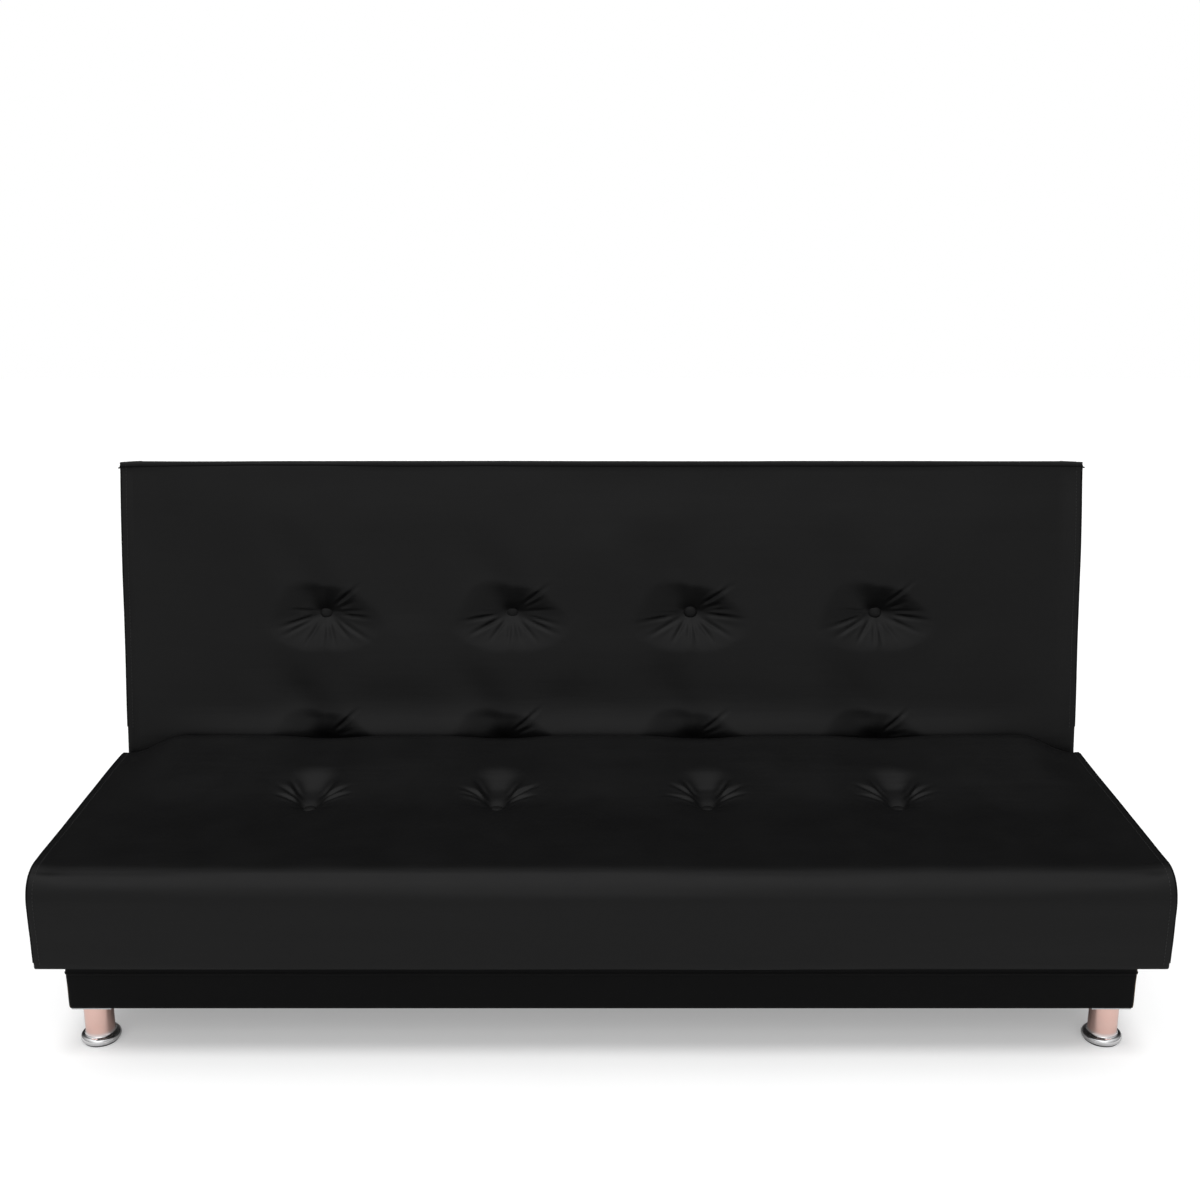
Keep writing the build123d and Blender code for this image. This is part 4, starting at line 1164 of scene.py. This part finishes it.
loops = wrap_loops()
wrap_points, wrap_faces = loops.reshape(-1, 3) * MM, ring_faces(len(loops), loops.shape[1])
plinth_wrap = new_piece("plinth_wrap", wrap_points, wrap_faces, DULL_LEATHER, "base")
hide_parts("base_cover")

# %% [markdown]
# ## Turned feet
# Each foot is a plated tube that flares into a dished flange. It is drawn as one turned profile, closed
# at both ends, with enough sides for its reflections to stay clean.

# %% Feet
FOOT_PROFILE = (
    (22.0, 2.0), (29.0, 2.0), (31.8, 2.9), (33.4, 4.8), (34.1, 7.2), (34.1, 9.8), (33.3, 12.2), (31.7, 14.1),
    (29.6, 15.0), (27.6, 15.2), (26.4, 15.9), (25.7, 17.4), (25.3, 19.6), (25.1, 22.0), (25.0, 26.0),
    (25.0, 40.0), (25.0, 58.0), (25.0, 72.0), (25.0, 76.6), (24.4, 77.0), (8.0, 77.0),
)
FOOT_NODES = ("foot_front_left", "foot_rear_left", "foot_front_right", "foot_rear_right")
for node in FOOT_NODES:
    foot_low, foot_high = (np.array(corner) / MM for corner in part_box(node))
    centre = (foot_low + foot_high) / 2
    points, faces = turned(FOOT_PROFILE, 96)
    points[:, :2] += centre[:2]
    foot = new_piece("turned_" + node, points * MM, faces, BRIGHT, "base")
    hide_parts(node)

# %% [markdown]
# ## Lining cloths
# Thin black cloth closes the underside of the seat and of the plinth, and the rear of the back. It is
# cut a little small and stapled tight, so it is nearly flat, with pulls between the staples. A grid
# with a small sag and shallow ripples gives that, and Solidify gives it its thickness.

# %% Sheets of lining
CLOTH_THICKNESS = 0.6


def lining_sheet(name, xs, others, place, relief, body, replaced, hole=None):
    """A stapled cloth on a grid; place puts (x, other, height) into the room, hole says what is cut out."""
    x, other = np.meshgrid(xs, others, indexing="ij")
    points = place(np.stack([x, other, relief(x, other)], -1).reshape(-1, 3))
    size, faces, area = len(others), [], 0.0
    for i in range(len(xs) - 1):
        for k in range(size - 1):
            middle = ((xs[i] + xs[i + 1]) / 2, (others[k] + others[k + 1]) / 2)
            if hole is not None and hole(*middle):
                continue
            faces.append((i * size + k, (i + 1) * size + k, (i + 1) * size + k + 1, i * size + k + 1))
            area += (xs[i + 1] - xs[i]) * (others[k + 1] - others[k]) * MM * MM
    sheet = new_piece(name, points * MM, faces, LINING, body)
    loose = sheet.modifiers.new("thickness", "SOLIDIFY")
    loose.thickness, loose.offset = CLOTH_THICKNESS * MM, 0.0
    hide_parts(replaced)
    return sheet


def edge_fade(x, other, xs, others, reach):
    """0 at the stapled edges and 1 well inside them."""
    near = np.minimum(np.minimum(x - xs[0], xs[-1] - x), np.minimum(other - others[0], others[-1] - other))
    return step_up(near, 0, reach)


# %% Seat dust cloth
cloth_low, cloth_high = (np.array(corner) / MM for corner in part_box("seat_dust_cover"))
seat_xs = np.linspace(cloth_low[0], cloth_high[0], 90)
seat_ys = np.linspace(cloth_low[1], cloth_high[1], 28)


def seat_cloth_relief(x, y):
    inside = edge_fade(x, y, seat_xs, seat_ys, 90)
    return cloth_high[2] - 0.5 - inside * (1.2 + 0.8 * soft_noise(x, y, 120, 90, 80))


lining_sheet("seat_dust_cloth", seat_xs, seat_ys, lambda p: p, seat_cloth_relief, "seat",
             "seat_dust_cover")

# %% Plinth dust cloth, cut out round the feet
base_low, base_high = (np.array(corner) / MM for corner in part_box("base_dust_cover"))
FOOT_ROOM = 4.0
front_foot = np.array(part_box("foot_front_left")) / MM
rear_foot = np.array(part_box("foot_rear_left")) / MM
foot_edge = np.abs(front_foot[1, 0]) - FOOT_ROOM
foot_ys = (front_foot[1, 1] + FOOT_ROOM, rear_foot[0, 1] - FOOT_ROOM)
base_xs = np.sort(np.r_[np.linspace(base_low[0], base_high[0], 80), -foot_edge, foot_edge])
base_ys = np.sort(np.r_[np.linspace(base_low[1], base_high[1], 30), foot_ys])


def base_cloth_relief(x, y):
    inside = edge_fade(x, y, base_xs, base_ys, 120)
    return base_high[2] - 0.5 - inside * (3.0 + 1.5 * soft_noise(x, y, 130, 100, 81))


def by_a_foot(x, y):
    return abs(x) > foot_edge and not foot_ys[0] < y < foot_ys[1]


lining_sheet("plinth_dust_cloth", base_xs, base_ys, lambda p: p, base_cloth_relief, "base",
             "base_dust_cover", by_a_foot)

# %% Rear cloth of the back
REAR_X = 895.0
REAR_U = (30.0, 616.0)
rear_xs = np.linspace(-REAR_X, REAR_X, 100)
rear_us = np.linspace(*REAR_U, 36)


def rear_cloth_relief(x, u):
    inside = edge_fade(x, u, rear_xs, rear_us, 110)
    pulls = 0.35 * np.sin(x / 11.0) * (1 - inside) * edge_fade(x, u, rear_xs, rear_us, 12)
    return -0.7 - inside * (2.0 + 1.2 * soft_noise(x, u, 160, 110, 82)) + pulls


lining_sheet("back_rear_cloth", rear_xs, rear_us, from_back, rear_cloth_relief, "back",
             "back_rear_cover")

# %% [markdown]
# ## Seams, stitches and staples
# A welt, a thin cord wrapped in leather, is sewn into the seams at both ends of each cushion and along
# the back's top edge. It is a round tube swept along the cushion's own outline. The stitches beside it
# and the staples in the linings repeat at a fixed spacing, so a Geometry Nodes tree sets them along
# lines that are read from the same outlines.

# %% Welts
WELT_RADIUS = 1.5
WELT_SIDES = 8
WELT_IN = 1.0  # how far from the end of the cushion the welt runs


def cord_round(points):
    """A welt's tube along points, shut at both ends."""
    before = np.vstack([points[:1], points[:-1]])
    after = np.vstack([points[1:], points[-1:]])
    along = (after - before) / np.linalg.norm(after - before, axis=1)[:, None]
    side = np.cross(along, (0.31, 0.52, 0.79))
    side /= np.linalg.norm(side, axis=1)[:, None]
    up = np.cross(along, side)
    turn = np.linspace(0, 2 * pi, WELT_SIDES, endpoint=False)
    ring = side[:, None] * np.cos(turn)[:, None] + up[:, None] * np.sin(turn)[:, None]
    rings = points[:, None] + WELT_RADIUS * ring
    return rings.reshape(-1, 3), tube_faces(len(points), WELT_SIDES)


def evenly(points, step):
    """The same line with its points a step apart."""
    along = np.r_[0, np.cumsum(np.linalg.norm(np.diff(points, axis=0), axis=1))]
    wanted = np.linspace(0, along[-1], max(3, round(along[-1] / step)))
    return np.stack([np.interp(wanted, along, points[:, k]) for k in range(points.shape[1])], 1)


def end_line(columns, loops, outline, end, inside, keep):
    """A line round one end of a cushion, so far inside it, with the outward direction at each point."""
    index = int(np.abs(columns - end * (HALF_WIDTH - inside)).argmin())
    line = np.hstack([loops[index], np.zeros((len(outline), 1)), outline[:, 2:]])
    return line[keep(line)]


def on_seat(line):
    return line[:, 2] > 3.0


def on_back(line):
    return (line[:, 1] > 128.0) & (line[:, 2] > 2.0)


def opened(line):
    """Rolls a closed line so that it starts where the part that was left out ends."""
    gaps = np.linalg.norm(np.diff(np.vstack([line, line[:1]])[:, :3], axis=0), axis=1)
    return np.roll(line, -(int(gaps.argmax()) + 1), axis=0)


def cushion_lines(columns, loops, outline, place, inside, keep):
    """Lines along both ends: points in the room and outward directions there."""
    lines = []
    for end in (-1, 1):
        line = evenly(opened(end_line(columns, loops, outline, end, inside, keep)), 6.0)
        points = place(line[:, :3])
        facing = place(line[:, :3] + line[:, 3:]) - points
        lines.append((points, facing))
    return lines


seat_welts = cushion_lines(seat_columns, seat_loops, seat_outline, from_seat, WELT_IN, on_seat)
back_welts = cushion_lines(back_columns, back_loops, back_outline, from_back, WELT_IN, on_back)
top_row = int(np.abs(np.degrees(np.arctan2(back_outline[:, 3], back_outline[:, 2])) - 60).argmin())
top_line = back_loops[:, top_row].copy()
EAR = 4.0  # the top welt ends in a small ear past each end
top_line[0, 0], top_line[-1, 0] = -HALF_WIDTH - EAR, HALF_WIDTH + EAR
top_line = evenly(top_line, 10.0)
points, faces = gathered([cord_round(line) for line, _ in seat_welts])
new_piece("seat_welts", points * MM, faces, DULL_LEATHER, "seat")
points, faces = gathered([cord_round(line) for line, _ in back_welts] + [cord_round(from_back(top_line))])
new_piece("back_welts", points * MM, faces, DULL_LEATHER, "back")


# %% A node tree that repeats a piece along a line
def make_repeat_tree():
    tree = bpy.data.node_groups.new("repeat_along_line", "GeometryNodeTree")
    face = tree.interface
    face.new_socket("Line", in_out="INPUT", socket_type="NodeSocketGeometry")
    face.new_socket("Piece", in_out="INPUT", socket_type="NodeSocketObject")
    face.new_socket("Spacing", in_out="INPUT", socket_type="NodeSocketFloat").default_value = 0.006
    face.new_socket("Scatter", in_out="INPUT", socket_type="NodeSocketFloat").default_value = 0.05
    face.new_socket("Seed", in_out="INPUT", socket_type="NodeSocketInt").default_value = 1
    face.new_socket("Finish", in_out="INPUT", socket_type="NodeSocketMaterial")
    face.new_socket("Row", in_out="OUTPUT", socket_type="NodeSocketGeometry")
    given = tree.nodes.new("NodeGroupInput").outputs
    target = tree.nodes.new("NodeGroupOutput").inputs
    curve = add_node(tree, "GeometryNodeMeshToCurve", {0: given["Line"]}).outputs[0]
    spaced = {"Curve": curve, "Length": given["Spacing"]}
    even = add_node(tree, "GeometryNodeResampleCurve", spaced, mode="LENGTH").outputs[0]
    spots = add_node(tree, "GeometryNodeCurveToPoints", {0: even}, mode="EVALUATED").outputs
    facing = add_node(tree, "GeometryNodeInputNamedAttribute", {"Name": "facing"}, data_type="FLOAT_VECTOR")
    along = add_node(tree, "FunctionNodeAlignRotationToVector", {"Vector": spots["Tangent"]}, axis="X")
    lay = {"Rotation": along.outputs[0], "Vector": facing.outputs[0]}
    upright = add_node(tree, "FunctionNodeAlignRotationToVector", lay, axis="Z", pivot_axis="X").outputs[0]
    least = maths(tree, "MULTIPLY", given["Scatter"], -1.0)
    swing = add_node(tree, "FunctionNodeRandomValue", data_type="FLOAT")
    for key, value in (("Min", least), ("Max", given["Scatter"]), ("Seed", given["Seed"])):
        socket = [one for one in swing.inputs if one.name == key and one.enabled][0]
        tree.links.new(value, socket)
    angle = [one for one in swing.outputs if one.enabled][0]
    turn = add_node(tree, "ShaderNodeCombineXYZ", {2: angle}).outputs[0]
    turned_by = add_node(tree, "FunctionNodeEulerToRotation", {0: turn}).outputs[0]
    rotate = {"Rotation": upright, "Rotate By": turned_by}
    rotation = add_node(tree, "FunctionNodeRotateRotation", rotate, rotation_space="LOCAL").outputs[0]
    shape = add_node(tree, "GeometryNodeObjectInfo", {"Object": given["Piece"]}).outputs["Geometry"]
    placed = {"Points": spots["Points"], "Instance": shape, "Rotation": rotation}
    row = add_node(tree, "GeometryNodeInstanceOnPoints", placed).outputs[0]
    real = add_node(tree, "GeometryNodeRealizeInstances", {0: row}).outputs[0]
    done = add_node(tree, "GeometryNodeSetMaterial", {0: real, "Material": given["Finish"]}).outputs[0]
    tree.links.new(done, target["Row"])
    return tree


REPEAT_ALONG_LINE = make_repeat_tree()


def line_mesh(lines):
    """One mesh of loose lines that carries the outward direction of each point."""
    points, edges, facings = [], [], []
    for line, facing in lines:
        start = len(points)
        points += [tuple(point) for point in line * MM]
        facings += list(facing)
        edges += [(start + k, start + k + 1) for k in range(len(line) - 1)]
    mesh = bpy.data.meshes.new("line")
    mesh.from_pydata(points, edges, [])
    stored = mesh.attributes.new("facing", "FLOAT_VECTOR", "POINT")
    stored.data.foreach_set("vector", np.array(facings, float).ravel())
    return mesh


def repeated(name, lines, piece, spacing, scatter, seed, finish, body, slot_name):
    """A plain mesh of the piece repeated along the lines, for one body."""
    carrier = bpy.data.objects.new("carrier", line_mesh(lines))
    bpy.context.scene.collection.objects.link(carrier)
    modifier = carrier.modifiers.new("repeat", "NODES")
    modifier.node_group = REPEAT_ALONG_LINE
    sockets = {item.name: item.identifier for item in REPEAT_ALONG_LINE.interface.items_tree}
    values = {"Piece": piece, "Spacing": spacing * MM, "Scatter": scatter, "Seed": seed, "Finish": finish}
    for key, value in values.items():
        modifier[sockets[key]] = value
    graph = bpy.context.evaluated_depsgraph_get()
    mesh = bpy.data.meshes.new_from_object(carrier.evaluated_get(graph), depsgraph=graph)
    bpy.data.objects.remove(carrier)
    row = bpy.data.objects.new(name, mesh)
    bpy.context.scene.collection.objects.link(row)
    mesh.shade_smooth()
    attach(row, body)
    print(name, len(mesh.polygons), "faces")
    return row


# %% A stitch and a staple to repeat
def small_part(name, points, faces):
    mesh = bpy.data.meshes.new(name)
    mesh.from_pydata([tuple(point) for point in np.asarray(points) * MM], [], faces)
    if mesh_volume(mesh) < 0:
        mesh.flip_normals()
    return bpy.data.objects.new(name, mesh)


def make_stitch():
    """A short plump thread that lies along X and dives at both ends."""
    rows = [(-2.4, 0.25, -0.5), (-1.7, 0.5, 0.15), (0.0, 0.6, 0.35), (1.7, 0.5, 0.15), (2.4, 0.25, -0.5)]
    turn = np.linspace(0, 2 * pi, 6, endpoint=False)
    points = [(x, radius * cos(t), height + 0.7 * radius * sin(t))
              for x, radius, height in rows for t in turn]
    return small_part("stitch", points, tube_faces(len(rows), len(turn)))


def make_staple():
    """A flat wire crown with two legs that go into the wood."""
    path = [(-5.6, -1.6), (-5.3, 0.45), (5.3, 0.45), (5.6, -1.6)]
    points = [(x + dx * s, y, z + dz) for (x, z), s in zip(path, (-1, -1, 1, 1))
              for dx, y, dz in ((0, -0.6, 0), (0, 0.6, 0), (-0.6, 0.6, -0.5), (-0.6, -0.6, -0.5))]
    return small_part("staple", points, tube_faces(len(path), 4))


STITCH = make_stitch()
STAPLE = make_staple()

# %% Sew the seams
STITCH_SPACING = 6.5
STITCH_IN = 13.0
seat_seams = cushion_lines(seat_columns, seat_loops, seat_outline, from_seat, STITCH_IN, on_seat)
back_seams = cushion_lines(back_columns, back_loops, back_outline, from_back, STITCH_IN, on_back)
thread = (STITCH, STITCH_SPACING, 0.06)
repeated("seat_stitches", seat_seams, *thread, 3, THREAD, "seat", "twine")
repeated("back_stitches", back_seams, *thread, 4, THREAD, "back", "twine")

# %% Staple the linings
STAPLE_SPACING = 38.0
STAPLE_IN = 7.0


def border(low, high, height, place, outward):
    """A line just inside a rectangle's edge, with the direction that it faces."""
    x0, x1, y0, y1 = low[0] + STAPLE_IN, high[0] - STAPLE_IN, low[1] + STAPLE_IN, high[1] - STAPLE_IN
    corners = np.array([(x0, y0), (x1, y0), (x1, y1), (x0, y1), (x0, y0)], float)
    line = evenly(np.hstack([corners, np.full((5, 1), height)]), 9.0)
    points = place(line)
    return points, place(line + outward) - points


seat_edge = border(cloth_low, cloth_high, cloth_high[2] - 1.0, lambda p: p, (0, 0, -1))
rear_edge = border((-REAR_X, REAR_U[0]), (REAR_X, REAR_U[1]), -1.2, from_back, (0, 0, -1))
base_inner = (base_low[0] + 70, base_low[1]), (base_high[0] - 70, base_high[1])
base_edge = border(*base_inner, base_high[2] - 1.0, lambda p: p, (0, 0, -1))
wire = (STAPLE, STAPLE_SPACING, 0.2)
repeated("seat_staples", [seat_edge], *wire, 5, ZINC, "seat", "zinc_steel")
repeated("back_staples", [rear_edge], *wire, 6, ZINC, "back", "zinc_steel")
repeated("plinth_staples", [base_edge], *wire, 7, ZINC, "base", "zinc_steel")
for helper in (STITCH, STAPLE):
    bpy.data.objects.remove(helper)
